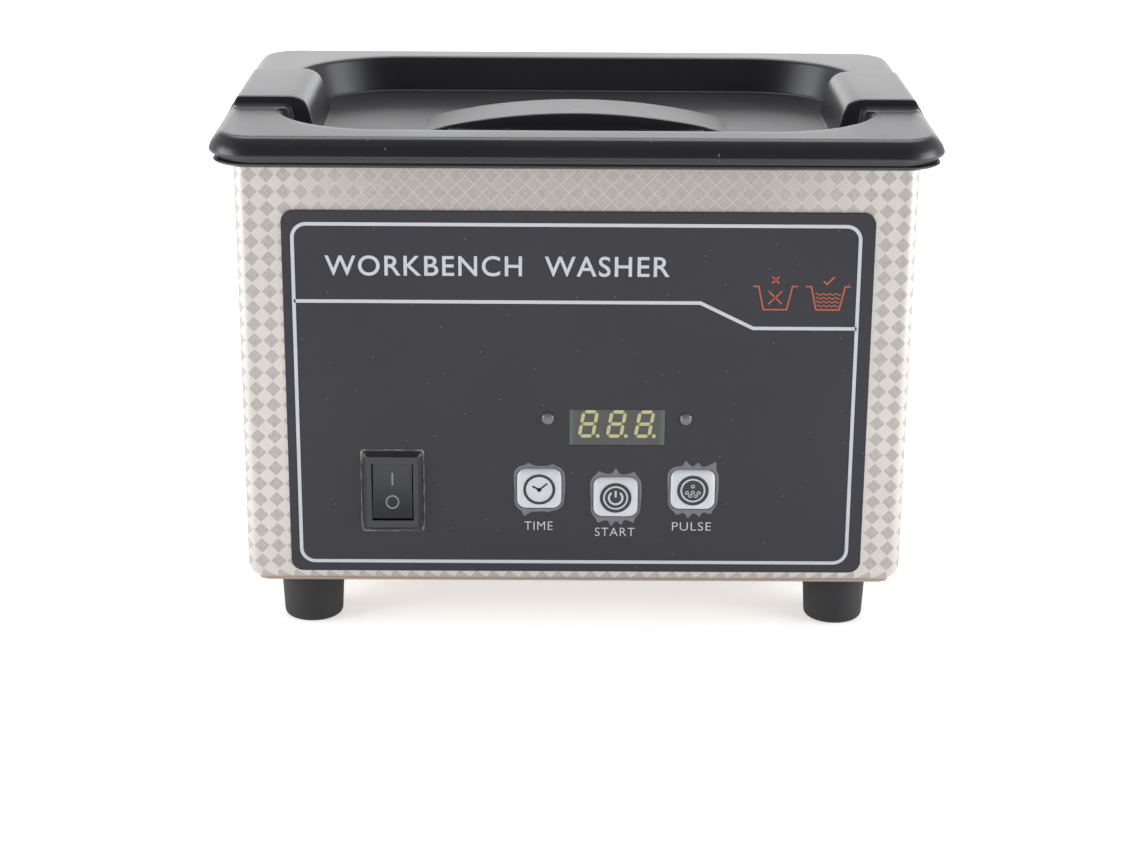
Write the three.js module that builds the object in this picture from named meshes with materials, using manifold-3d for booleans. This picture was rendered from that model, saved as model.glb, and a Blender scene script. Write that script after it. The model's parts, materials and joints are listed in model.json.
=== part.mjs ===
// Bench-top ultrasonic cleaner: a pressed steel tank hung in a square sheet-metal housing, with a
// lift-off lid, a slotted basket, a front control panel and the drive electronics underneath.
// Millimetres, +Z up. The front panel faces -Y. The origin is under the middle of the machine,
// on the surface that the four feet stand on.

import * as THREE from "three";
import { mergeVertices } from "three/addons/utils/BufferGeometryUtils.js";
import Module from "manifold-3d";

const wasm = await Module();
wasm.setup();

// ---------------------------------------------------------------- driving dimensions

const REST_GAP = 0.1; // between pieces that lie on each other
const FIT_GAP = 0.3; // round a piece that sits in a hole or a recess

const HOUSING = { hx: 84.4, hy: 54.7, r: 3 }; // outline, as half width, half depth and corner radius
const HOUSING_BASE = 14.5;
const HOUSING_TOP = 122.7;
const SHEET = 0.8;
const BOTTOM_EDGE_RADIUS = 3.5;
const BOTTOM_LIP = 7; // turned-in flange that carries the bottom plate

const PLATE_THICKNESS = 1.0;
const FOOT = { top: 8.6, bottom: 7.7, x: 68.7, y: 42.7 };

const MOUTH = { hx: 78, hy: 50, r: 28 }; // inside of the tank at its rim
const TANK_WALL = 0.8;
const TANK_TAPER = 3.5;
const TANK_FLOOR = 69.5; // inner face
const FLANGE_WIDTH = 5.4;
const FRAME_TOP = 124.9;
const FRAME_FLARE = 5;

const LID = { hx: 90.5, hy: 61.7, r: 11.5 };
const LID_BASE = FRAME_TOP + REST_GAP;
const LID_RIM = 131.26;
const LID_WALL = 1.8;
const RECESS = { hx: 76.5, hy: 49.4, r: 28.5 };
const RECESS_FLOOR = 122.1;
const RECESS_DRAFT = 2.7;
const HOOD_HALF_WIDTH = 19.4; // saddle that covers a basket handle
const HOOD_TOP = 133.35;
const HOOD_INNER = 66.8;
const HOOD_OUTER = 87.4;
const LEDGE_INNER = 72.4;
const LEDGE_HALF_WIDTH = 24.8;
const LEDGE_TOP = 131.5;
const RIDGE = { halfLength: 40, halfWidth: 10, height: 5.2 }; // pinch grip in the recess
const RIDGE_PAD = { halfLength: 34, halfWidth: 15.5, height: 1.2 };

const BASKET = { hx: 69, hy: 43, r: 26 }; // outside of the rim
const BASKET_TOP = 119;
const BASKET_BOTTOM = 89;
const BASKET_WALL = 1.6;
const BASKET_TAPER = 4.5;
const SLOT = { width: 1.9, pitch: 4.25, low: 92.5, high: 109.5, perSide: 22 };
const HANDLE_HALF_WIDTH = 15.5;
const HANDLE_THICKNESS = 1.8;

const PANEL = { left: -72.9, right: 73.9, low: 16.7, high: 112.1, r: 3, thickness: 0.5 };
const PANEL_BACK = -HOUSING.hy - REST_GAP / 2;
const PANEL_FACE = PANEL_BACK - PANEL.thickness;
const DISPLAY = { x: 10.65, z: 56.1, width: 24.25, height: 9.6 };
const LEDS = [["left", -6.9], ["right", 28.07]];
const LED_Z = 58.45;
const LED_RADIUS = 1.55;
const BUTTONS = [["min", -9.03, 39.6], ["power", 10.5, 37.4], ["degas", 30.2, 39.5]];
const BUTTON = { width: 11.4, height: 10.8, r: 2.3, stand: 1.0, flange: 0.9, travel: 0.6 };

const ROCKER = { x: -46.45, z: 38.77, width: 15, height: 21, stand: 1.9, depth: 19 };
const KEY = { width: 10.0, halfHeight: 7.0, pivotDepth: 3, restTilt: 9, dish: 0.5 };
const KEY_WELL = { width: 10.6, height: 15.3, depth: 9.5 };

const CONTROL_BOARD = { left: -20, right: 42, low: 26.5, high: 67, face: -45.6, thickness: 1.6 };
const DRIVE_BOARD = { left: 27, right: 77, front: -36, back: 44, base: 23.4, thickness: 1.6 };
const STANDOFF_INSET = 4;

const INLET = { x: -45, z: 40, width: 27, height: 20, flangeWidth: 50, flangeHeight: 22.5, depth: 16 };
const INLET_SCREW_PITCH = 40;

const ARC_STEPS = 5; // facets in a quarter of a large corner
const CURVE_SEGMENTS = 2; // three.js divides an arc into twice as many facets
const X_AXIS = new THREE.Vector3(1, 0, 0);
const Y_AXIS = new THREE.Vector3(0, 1, 0);
const Z_AXIS = new THREE.Vector3(0, 0, 1);

const cleaner = new THREE.Group();

// ---------------------------------------------------------------- shape helpers

/** Makes a solid that can be joined and cut from a closed geometry. */
function solid(geometry) {
  const bare = geometry.clone();
  bare.deleteAttribute("normal");
  bare.deleteAttribute("uv");
  const merged = mergeVertices(bare, 1e-4);
  const vertProperties = new Float32Array(merged.attributes.position.array);
  const triVerts = new Uint32Array(merged.index.array);
  return new wasm.Manifold(new wasm.Mesh({ numProp: 3, vertProperties, triVerts }));
}

/** Gives a solid back as a geometry. */
function geometryOf(body) {
  const mesh = body.getMesh();
  const geometry = new THREE.BufferGeometry();
  geometry.setAttribute("position", new THREE.BufferAttribute(mesh.vertProperties, 3));
  geometry.setIndex(new THREE.BufferAttribute(mesh.triVerts, 1));
  return geometry;
}

/** Adds one named piece with its own material to a group. */
function addPiece(name, shape, [color, roughness, metalness], parent = cleaner) {
  const geometry = shape.isBufferGeometry ? shape : geometryOf(shape);
  const mesh = new THREE.Mesh(geometry, new THREE.MeshStandardMaterial({ color, roughness, metalness }));
  mesh.name = name;
  parent.add(mesh);
  return mesh;
}

function polygon(points) {
  return new THREE.Shape(points.map(([a, b]) => new THREE.Vector2(a, b)));
}

/** A rectangle with round corners, centred on (a, b). */
function roundedRectangle(a, b, width, height, r) {
  const right = a + width / 2 - r;
  const left = a - width / 2 + r;
  const top = b + height / 2 - r;
  const bottom = b - height / 2 + r;
  const shape = new THREE.Shape();
  shape.absarc(right, top, r, 0, Math.PI / 2);
  shape.absarc(left, top, r, Math.PI / 2, Math.PI);
  shape.absarc(left, bottom, r, Math.PI, 1.5 * Math.PI);
  shape.absarc(right, bottom, r, 1.5 * Math.PI, 2 * Math.PI);
  shape.closePath();
  return shape;
}

function extrude(shape, depth, curveSegments) {
  return new THREE.ExtrudeGeometry(shape, { depth, bevelEnabled: false, steps: 1, curveSegments });
}

/** Carries an (x, y) shape from one height to another. */
function prismZ(shape, low, high, segments = CURVE_SEGMENTS) {
  return extrude(shape, high - low, segments).translate(0, 0, low);
}

/** Carries an (x, z) shape from one depth to another. */
function prismY(shape, front, back, segments = CURVE_SEGMENTS) {
  const turn = new THREE.Matrix4().makeBasis(X_AXIS, Z_AXIS, Y_AXIS.clone().negate());
  return extrude(shape, back - front, segments).applyMatrix4(turn).translate(0, back, 0);
}

/** Carries a (y, z) shape from left to right. */
function prismX(shape, left, right, segments = CURVE_SEGMENTS) {
  const turn = new THREE.Matrix4().makeBasis(Y_AXIS, Z_AXIS, X_AXIS);
  return extrude(shape, right - left, segments).applyMatrix4(turn).translate(left, 0, 0);
}

function block([x0, x1], [y0, y1], [z0, z1]) {
  const box = new THREE.BoxGeometry(x1 - x0, y1 - y0, z1 - z0);
  return box.translate((x0 + x1) / 2, (y0 + y1) / 2, (z0 + z1) / 2);
}

/** A turned body standing along Z, from [radius, height] points that start and end on its axis. */
function turned(profile, segments = 16) {
  const points = profile.map(([radius, height]) => new THREE.Vector2(radius, height));
  return new THREE.LatheGeometry(points, segments).rotateX(Math.PI / 2);
}

/** Round the outline of a rounded rectangle, as points in order against the clock. */
function outline(hx, hy, r, steps) {
  const corners = [[1, 1, 0], [-1, 1, 1], [-1, -1, 2], [1, -1, 3]];
  return corners.flatMap(([sx, sy, quarter]) => Array.from({ length: steps + 1 }, (_, i) => {
    const angle = (quarter + i / steps) * Math.PI / 2;
    return [sx * (hx - r) + r * Math.cos(angle), sy * (hy - r) + r * Math.sin(angle)];
  }));
}

/**
 * A closed body made of outlines stacked along a section of [offset, height] points, each outline
 * being the base grown by the offset. A ring's section closes on itself; otherwise the first and
 * last outlines are capped flat.
 */
function stack(base, section, { ring = false, steps = ARC_STEPS } = {}) {
  const outlines = section.map(([offset, z]) => {
    const r = Math.max(base.r + offset, 0.3);
    return outline(base.hx + offset, base.hy + offset, r, steps).map(([x, y]) => [x, y, z]);
  });
  const count = outlines[0].length;
  const faces = [];
  const bands = ring ? outlines.length : outlines.length - 1;
  for (let level = 0; level < bands; level += 1) {
    const low = level * count;
    const high = ((level + 1) % outlines.length) * count;
    for (let i = 0; i < count; i += 1) {
      const next = (i + 1) % count;
      faces.push(low + i, low + next, high + next, low + i, high + next, high + i);
    }
  }
  const lastRing = (outlines.length - 1) * count;
  for (let i = 1; !ring && i < count - 1; i += 1) {
    faces.push(0, i + 1, i, lastRing, lastRing + i, lastRing + i + 1);
  }
  const geometry = new THREE.BufferGeometry();
  geometry.setAttribute("position", new THREE.Float32BufferAttribute(outlines.flat(2), 3));
  return geometry.setIndex(faces);
}

/** A band of even thickness to the left of a line of (a, b) points, with mitred bends, as a shape. */
function band(points, thickness) {
  const line = points.map(([a, b]) => new THREE.Vector2(a, b));
  const runs = line.slice(1).map((point, i) => point.clone().sub(line[i]).normalize());
  const far = line.map((point, i) => {
    const into = runs[Math.max(i - 1, 0)];
    const out = runs[Math.min(i, runs.length - 1)];
    const along = into.clone().add(out).normalize();
    return new THREE.Vector2(-along.y, along.x).multiplyScalar(thickness / along.dot(out)).add(point);
  });
  return new THREE.Shape([...line, ...far.reverse()]);
}

const STAINLESS = [0xd8cfc8, 0.34, 0.9];
const BRIGHT_STEEL = [0xc9c9c7, 0.25, 1.0];
const BLACK_PLASTIC = [0x232325, 0.42, 0.0];
const PANEL_FILM = [0x44454b, 0.45, 0.0];
const WHITE_PLASTIC = [0xefeff2, 0.45, 0.0];
const KEY_GREY = [0xc8cbd0, 0.5, 0.0];
const RUBBER = [0x2d2d30, 0.85, 0.0];
const BOARD_GREEN = [0x1f5a37, 0.55, 0.0];
const SCREW_STEEL = [0x9c9da1, 0.3, 1.0];
const CERAMIC = [0x6f6a64, 0.6, 0.0];
const ALUMINIUM = [0xb4b7ba, 0.35, 1.0];
const BRASS = [0xb58a3c, 0.3, 1.0];
const COPPER = [0xb0673f, 0.35, 1.0];
const DARK_LENS = [0x3f4743, 0.15, 0.0];
const LED_LENS = [0x8f9094, 0.2, 0.0];

// ---------------------------------------------------------------- housing

/** Four folded walls with round bottom edges and a lip turned in under them. */
function makeHousingShell() {
  const wallOf = (inset) => {
    const half = HOUSING.hx - inset;
    const round = BOTTOM_EDGE_RADIUS - inset;
    const height = HOUSING_TOP - HOUSING_BASE - inset;
    const front = roundedRectangle(0, HOUSING_BASE + inset + height, 2 * half, 2 * height, round);
    const across = solid(prismY(front, -HOUSING.hy - 1, HOUSING.hy + 1));
    const upright = solid(stack(HOUSING, [[-inset, HOUSING_BASE + inset], [-inset, HOUSING_TOP + inset]], { steps: 3 }));
    return across.intersect(upright);
  };
  const opening = [[-BOTTOM_LIP, HOUSING_BASE - 1], [-BOTTOM_LIP, HOUSING_BASE + 5]];
  const shell = wallOf(0).subtract(wallOf(SHEET)).subtract(solid(stack(HOUSING, opening, { steps: 1 })));
  const front = -HOUSING.hy - 1;
  const inside = -HOUSING.hy + SHEET + 1;
  const windowHole = roundedRectangle(DISPLAY.x, DISPLAY.z, DISPLAY.width - 2, DISPLAY.height - 1.6, 0.5);
  const rockerHole = roundedRectangle(ROCKER.x, ROCKER.z, ROCKER.width - 1.6, ROCKER.height - 1.8, 0.5);
  const inletHole = roundedRectangle(INLET.x, INLET.z, INLET.width + 0.8, INLET.height + 0.8, 2);
  let cut = shell.subtract(solid(prismY(windowHole, front, inside, 1)));
  cut = cut.subtract(solid(prismY(rockerHole, front, inside, 1)));
  cut = cut.subtract(solid(prismY(inletHole, -inside, -front, 1)));
  for (const [, x] of LEDS) {
    cut = cut.subtract(solid(prismY(roundedRectangle(x, LED_Z, 3.7, 3.7, 1.8), front, inside, 1)));
  }
  for (const [, x, z] of BUTTONS) {
    const hole = roundedRectangle(x, z, BUTTON.width + 0.6, BUTTON.height + 0.6, BUTTON.r + 0.3);
    cut = cut.subtract(solid(prismY(hole, front, inside, 1)));
  }
  for (const side of [-1, 1]) {
    const x = INLET.x + side * INLET_SCREW_PITCH / 2;
    cut = cut.subtract(solid(prismY(roundedRectangle(x, INLET.z, 3.6, 3.6, 1.75), -inside, -front, 1)));
  }
  addPiece("housing_shell", cut, STAINLESS);
}

/** Flat plate under the lip, with a row of vent slots on each side and the holes for its screws. */
function makeBottomPlate() {
  const top = HOUSING_BASE - REST_GAP;
  const low = top - PLATE_THICKNESS;
  const shape = roundedRectangle(0, 0, 2 * HOUSING.hx - 5, 2 * HOUSING.hy - 2.4, 2.5);
  for (const side of [-1, 1]) {
    for (let i = -2; i <= 2; i += 1) {
      shape.holes.push(roundedRectangle(side * 48, i * 10, 30, 3, 1.4));
    }
    for (const end of [-1, 1]) {
      shape.holes.push(roundedRectangle(side * FOOT.x, end * FOOT.y, 4.6, 4.6, 2.2));
    }
  }
  addPiece("bottom_plate", prismZ(shape, low, top, 1), [0x8d7d72, 0.5, 0.6]);
}

/** Rubber foot, wider at the top, with a pocket in its underside for the screw's head. */
function footGeometry() {
  const height = HOUSING_BASE - REST_GAP - PLATE_THICKNESS - REST_GAP;
  const profile = [
    [2.4, 4], [4.4, 4], [4.4, 0], [FOOT.bottom - 0.8, 0], [FOOT.bottom, 0.8],
    [FOOT.top - 0.3, height - 1], [FOOT.top - 0.3, height], [2.4, height], [2.4, 4],
  ];
  return turned(profile, 16);
}

/** Pan-head screw with a cross slot left out, its head at the origin and its shank upwards. */
function screwGeometry(headRadius, headHeight, shankRadius, shankLength, segments = 10) {
  return turned([
    [0, 0], [headRadius * 0.75, 0], [headRadius, headHeight * 0.4], [headRadius, headHeight],
    [shankRadius, headHeight], [shankRadius, headHeight + shankLength], [0, headHeight + shankLength],
  ], segments);
}

function makeFeet() {
  const corners = [
    ["front_left", -1, -1], ["front_right", 1, -1], ["rear_left", -1, 1], ["rear_right", 1, 1],
  ];
  const foot = footGeometry();
  const screw = screwGeometry(3.8, 2.2, 1.9, 12);
  for (const [corner, sideX, sideY] of corners) {
    const group = new THREE.Group();
    group.position.set(sideX * FOOT.x, sideY * FOOT.y, 0);
    cleaner.add(group);
    addPiece(`foot_${corner}`, foot.clone(), RUBBER, group);
    addPiece(`foot_screw_${corner}`, screw.clone(), SCREW_STEEL, group).position.z = 4 - 2.2 - REST_GAP;
  }
}

/** Moulded ring that caps the housing: it flares outwards, and the tank's flange lies in its top. */
function makeTopFrame() {
  const body = stack(HOUSING, [
    [-SHEET - FIT_GAP, HOUSING_TOP - 4.2], [-SHEET - FIT_GAP, HOUSING_TOP + REST_GAP],
    [0.4, HOUSING_TOP + REST_GAP], [2.6, HOUSING_TOP + 0.6], [FRAME_FLARE - 0.3, FRAME_TOP - 0.8],
    [FRAME_FLARE, FRAME_TOP - 0.3], [FRAME_FLARE - 0.3, FRAME_TOP],
  ]);
  const hole = stack(MOUTH, [
    [TANK_WALL + 0.6, HOUSING_TOP - 5], [TANK_WALL + 0.6, 122.4], [2.9, 122.4], [2.9, 124],
    [FLANGE_WIDTH + FIT_GAP, 124], [FLANGE_WIDTH + FIT_GAP, FRAME_TOP + 1],
  ]);
  addPiece("top_frame", solid(body).subtract(solid(hole)), BLACK_PLASTIC);
}

/** Rubber seal in the groove under the tank's flange. */
function makeTankGasket() {
  const section = [[1.6, 122.5], [2.7, 122.5], [2.7, 123.7], [2.15, 123.95], [1.6, 123.7]];
  addPiece("tank_gasket", stack(MOUTH, section, { ring: true }), RUBBER);
}

/** Deep-drawn tank: a flat flange, walls that lean in, and a round edge to the floor. */
function makeTank() {
  const under = FRAME_TOP - 0.85;
  const flangeTop = under + 0.7;
  const lean = (z) => -TANK_TAPER * (flangeTop - z) / (flangeTop - TANK_FLOOR);
  const section = [
    [lean(TANK_FLOOR) - 7 + TANK_WALL, TANK_FLOOR - TANK_WALL],
    [lean(TANK_FLOOR) - 2.4 + TANK_WALL, TANK_FLOOR + 1.6], [lean(TANK_FLOOR) + TANK_WALL, TANK_FLOOR + 7],
    [TANK_WALL, under - 0.6], [TANK_WALL + 0.6, under], [FLANGE_WIDTH, under], [FLANGE_WIDTH, flangeTop],
    [0.9, flangeTop], [0, flangeTop - 1], [lean(TANK_FLOOR), TANK_FLOOR + 7],
    [lean(TANK_FLOOR) - 2, TANK_FLOOR + 2], [lean(TANK_FLOOR) - 7, TANK_FLOOR],
  ];
  addPiece("tank", stack(MOUTH, section), BRIGHT_STEEL);
}

// ---------------------------------------------------------------- lid and basket

/** The two saddles' section seen from the front, on the right-hand side: a block with a round shoulder. */
function saddleShape(inner, shoulder, top, outer, low, round) {
  const shape = new THREE.Shape();
  shape.moveTo(inner, low);
  shape.lineTo(outer, low);
  shape.lineTo(outer, top - 1.2);
  shape.lineTo(outer - 1, top);
  shape.lineTo(shoulder + round, top);
  shape.absarc(shoulder + round, top - round, round, Math.PI / 2, Math.PI - 0.12);
  shape.closePath();
  return shape;
}

/** A long low arch seen from the front, from its foot at one end to its foot at the other. */
function archShape(halfLength, height, base) {
  const steps = 10;
  const crown = Array.from({ length: steps + 1 }, (_, i) => {
    const x = halfLength * (1 - 2 * i / steps);
    return [x, base + height * (1 - (x / halfLength) ** 2) ** 0.9];
  });
  return polygon([[-halfLength, base - 4], [halfLength, base - 4], ...crown]);
}

/** Both mirror halves of a solid that lies on the right-hand side. */
function bothSides(geometry) {
  const right = solid(geometry);
  return right.add(right.mirror([1, 0, 0]));
}

/** Moulded lid: a beaded skirt, a flat rim, a sunk tray with a pinch ridge, and a saddle at each end. */
function makeLid(parent) {
  const skirt = solid(stack(LID, [
    [-1.9, LID_BASE], [-1.7, LID_BASE + 1.1], [-0.4, LID_BASE + 1.3], [0, LID_BASE + 2],
    [-0.5, LID_BASE + 3.6], [-1.3, LID_RIM - 1], [-2, LID_RIM - 0.3], [-3, LID_RIM],
  ]));
  const trayOuter = solid(stack(RECESS, [
    [-RECESS_DRAFT + 0.6, RECESS_FLOOR - LID_WALL], [-RECESS_DRAFT + LID_WALL, RECESS_FLOOR - 0.4],
    [LID_WALL, LID_RIM - 0.5],
  ]));
  const trayInner = solid(stack(RECESS, [
    [-RECESS_DRAFT - 1.2, RECESS_FLOOR], [-RECESS_DRAFT, RECESS_FLOOR + 1.2], [-0.5, LID_RIM - 0.9],
    [0, LID_RIM], [0, HOOD_TOP + 1],
  ]));
  const hollow = solid(stack(LID, [[-3.2, LID_BASE - 1], [-3.6, LID_RIM - LID_WALL]]));
  let lid = skirt.subtract(hollow.subtract(trayOuter)).add(trayOuter).subtract(trayInner);

  const under = RECESS_FLOOR - LID_WALL;
  const ledge = saddleShape(LEDGE_INNER, LEDGE_INNER + 0.8, LEDGE_TOP, HOOD_OUTER, under, 3);
  const hood = saddleShape(HOOD_INNER, HOOD_INNER + 1.4, HOOD_TOP, HOOD_OUTER, under, 4.5);
  const aboveBase = solid(block([-LID.hx, LID.hx], [-LID.hy, LID.hy], [LID_BASE, HOOD_TOP + 1]));
  const allowed = trayOuter.add(aboveBase);
  const ledges = bothSides(prismY(ledge, -LEDGE_HALF_WIDTH, LEDGE_HALF_WIDTH)).intersect(allowed);
  const hoods = bothSides(prismY(hood, -HOOD_HALF_WIDTH, HOOD_HALF_WIDTH)).intersect(allowed);
  const skirtInside = LID.hx - 3.2;
  const ledgeHollow = saddleShape(
    LEDGE_INNER + LID_WALL, LEDGE_INNER + 0.8 + LID_WALL, LEDGE_TOP - LID_WALL, skirtInside, under - 2, 2,
  );
  const hoodHollow = saddleShape(
    HOOD_INNER + LID_WALL, HOOD_INNER + 1.4 + LID_WALL, HOOD_TOP - LID_WALL, skirtInside, under - 2, 2.7,
  );
  const ledgeInside = LEDGE_HALF_WIDTH - LID_WALL;
  const hoodInside = HOOD_HALF_WIDTH - LID_WALL;
  lid = lid.add(ledges).subtract(bothSides(prismY(ledgeHollow, -ledgeInside, ledgeInside)));
  lid = lid.add(hoods).subtract(bothSides(prismY(hoodHollow, -hoodInside, hoodInside)));

  const ridge = archShape(RIDGE.halfLength, RIDGE.height, RECESS_FLOOR);
  const pad = archShape(RIDGE_PAD.halfLength, RIDGE_PAD.height, RECESS_FLOOR);
  const ridgeHollow = archShape(RIDGE.halfLength - 6, RIDGE.height - 0.6, RECESS_FLOOR - LID_WALL);
  const floorBand = solid(block([-45, 45], [-20, 20], [RECESS_FLOOR - 1, RECESS_FLOOR + 8]));
  const ridgeSolid = solid(prismY(ridge, -RIDGE.halfWidth, RIDGE.halfWidth));
  const padSolid = solid(prismY(pad, -RIDGE_PAD.halfWidth, RIDGE_PAD.halfWidth));
  lid = lid.add(ridgeSolid.add(padSolid).intersect(floorBand));
  const gripInside = RIDGE.halfWidth - LID_WALL;
  lid = lid.subtract(solid(prismY(ridgeHollow, -gripInside, gripInside)));
  addPiece("lid", lid, BLACK_PLASTIC, parent);
}

/** Basket: tapering walls slotted along the sides, a plain rim band and a hooked handle at each end. */
function makeBasket(parent) {
  const bottomOffset = -BASKET_TAPER;
  const walls = solid(stack(BASKET, [
    [bottomOffset - 2.5, BASKET_BOTTOM], [bottomOffset, BASKET_BOTTOM + 3], [-1.1, BASKET_TOP - 4],
    [-0.2, BASKET_TOP - 3.6], [0, BASKET_TOP - 0.6], [-0.4, BASKET_TOP],
  ], { steps: 4 }));
  const inside = solid(stack(BASKET, [
    [bottomOffset - BASKET_WALL - 2.2, BASKET_BOTTOM + BASKET_WALL],
    [bottomOffset - BASKET_WALL, BASKET_BOTTOM + 4], [-1.1 - BASKET_WALL, BASKET_TOP - 4],
    [-BASKET_WALL, BASKET_TOP - 1], [-BASKET_WALL, BASKET_TOP + 1],
  ], { steps: 4 }));
  const strap = band([
    [66.6, 111.6], [68.6, 115], [71.3, 119.5], [71.5, 126.4], [72.6, 128.8], [74.9, 129.7], [81.3, 129.7],
    [86.5, FRAME_TOP + 1.65],
  ], -HANDLE_THICKNESS);
  const handles = bothSides(prismY(strap, -HANDLE_HALF_WIDTH, HANDLE_HALF_WIDTH));
  let basket = walls.add(handles).subtract(inside);
  for (let i = 0; i < SLOT.perSide; i += 1) {
    const x = (i - (SLOT.perSide - 1) / 2) * SLOT.pitch;
    const slot = block([x - SLOT.width / 2, x + SLOT.width / 2], [-BASKET.hy - 1, BASKET.hy + 1],
      [SLOT.low, SLOT.high]);
    basket = basket.subtract(solid(slot));
  }
  addPiece("basket", basket, WHITE_PLASTIC, parent);
}

// ---------------------------------------------------------------- front panel

/** Dark face film with its window, lamp, key and switch cut-outs. */
function makePanel() {
  const centre = [(PANEL.left + PANEL.right) / 2, (PANEL.low + PANEL.high) / 2];
  const shape = roundedRectangle(...centre, PANEL.right - PANEL.left, PANEL.high - PANEL.low, PANEL.r);
  shape.holes.push(roundedRectangle(ROCKER.x, ROCKER.z, ROCKER.width + 0.8, ROCKER.height + 0.8, 0.4));
  shape.holes.push(roundedRectangle(DISPLAY.x, DISPLAY.z, DISPLAY.width + 0.1, DISPLAY.height + 0.1, 0.3));
  for (const [, x] of LEDS) {
    shape.holes.push(roundedRectangle(x, LED_Z, 3.5, 3.5, 1.7));
  }
  for (const [, x, z] of BUTTONS) {
    shape.holes.push(roundedRectangle(x, z, BUTTON.width + 0.5, BUTTON.height + 0.5, BUTTON.r + 0.25));
  }
  addPiece("panel_overlay", prismY(shape, PANEL_FACE, PANEL_BACK, 1), PANEL_FILM);
  const lens = roundedRectangle(DISPLAY.x, DISPLAY.z, DISPLAY.width - 0.1, DISPLAY.height - 0.1, 0.3);
  addPiece("display_window", prismY(lens, PANEL_FACE + 0.05, PANEL_BACK, 1), DARK_LENS);
}

/** Keys with a flange behind the sheet and a stem towards their switch. */
function makeButtons() {
  const face = -HOUSING.hy - BUTTON.stand - 0.5;
  const flangeFront = -HOUSING.hy + SHEET + REST_GAP;
  const flangeBack = flangeFront + BUTTON.flange;
  const stemEnd = CONTROL_BOARD.face - 3.9 - BUTTON.travel;
  for (const [name, x, z] of BUTTONS) {
    const key = new THREE.Group();
    key.position.set(x, 0, z);
    cleaner.add(key);
    const cap = prismY(roundedRectangle(0, 0, BUTTON.width, BUTTON.height, BUTTON.r), face + 0.4, flangeBack);
    const top = prismY(roundedRectangle(0, 0, BUTTON.width - 0.8, BUTTON.height - 0.8, BUTTON.r - 0.4),
      face, face + 0.5);
    const flange = prismY(roundedRectangle(0, 0, BUTTON.width + 2, BUTTON.height + 2, 2), flangeFront, flangeBack, 1);
    const stem = block([-1.5, 1.5], [flangeBack - 0.1, stemEnd], [-1.5, 1.5]);
    const body = solid(cap).add(solid(top)).add(solid(flange)).add(solid(stem));
    addPiece(`button_${name}`, body, KEY_GREY, key);
    const base = solid(block([-3, 3], [CONTROL_BOARD.face - 3.4, CONTROL_BOARD.face - REST_GAP], [-3, 3]));
    const plunger = new THREE.CylinderGeometry(1.6, 1.6, 0.6, 10).translate(0, CONTROL_BOARD.face - 3.6, 0);
    addPiece(`switch_${name}`, base.add(solid(plunger)), BLACK_PLASTIC, key);
  }
}

/** Printed board behind the panel, with the three-digit display and the two lamps on it. */
function makeControlBoard() {
  const { left, right, low, high, face, thickness } = CONTROL_BOARD;
  const board = roundedRectangle((left + right) / 2, (low + high) / 2, right - left, high - low, 1);
  for (const x of [left + 3, right - 3]) {
    board.holes.push(roundedRectangle(x, high - 3, 3, 3, 1.4));
  }
  addPiece("control_board", prismY(board, face, face + thickness, 1), BOARD_GREEN);
  const moduleBack = face - REST_GAP;
  const halfWidth = DISPLAY.width / 2 - 1.3;
  const module = block([DISPLAY.x - halfWidth, DISPLAY.x + halfWidth], [-HOUSING.hy + 0.2, moduleBack],
    [DISPLAY.z - DISPLAY.height / 2 + 1.1, DISPLAY.z + DISPLAY.height / 2 - 1.1]);
  addPiece("display_module", module, [0x5a5d5a, 0.5, 0.0]);
  for (const [side, x] of LEDS) {
    const tip = -PANEL_FACE + 0.9;
    const lamp = turned([
      [0, -moduleBack], [0.7, -moduleBack], [0.7, 50.6], [LED_RADIUS + 0.2, 50.6], [LED_RADIUS + 0.2, 51.6],
      [LED_RADIUS, 51.6], [LED_RADIUS, tip - 1.1], [LED_RADIUS * 0.75, tip - 0.4], [0, tip],
    ], 10).rotateX(Math.PI / 2);
    addPiece(`led_${side}`, lamp.translate(x, 0, LED_Z), LED_LENS);
  }
}

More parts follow.
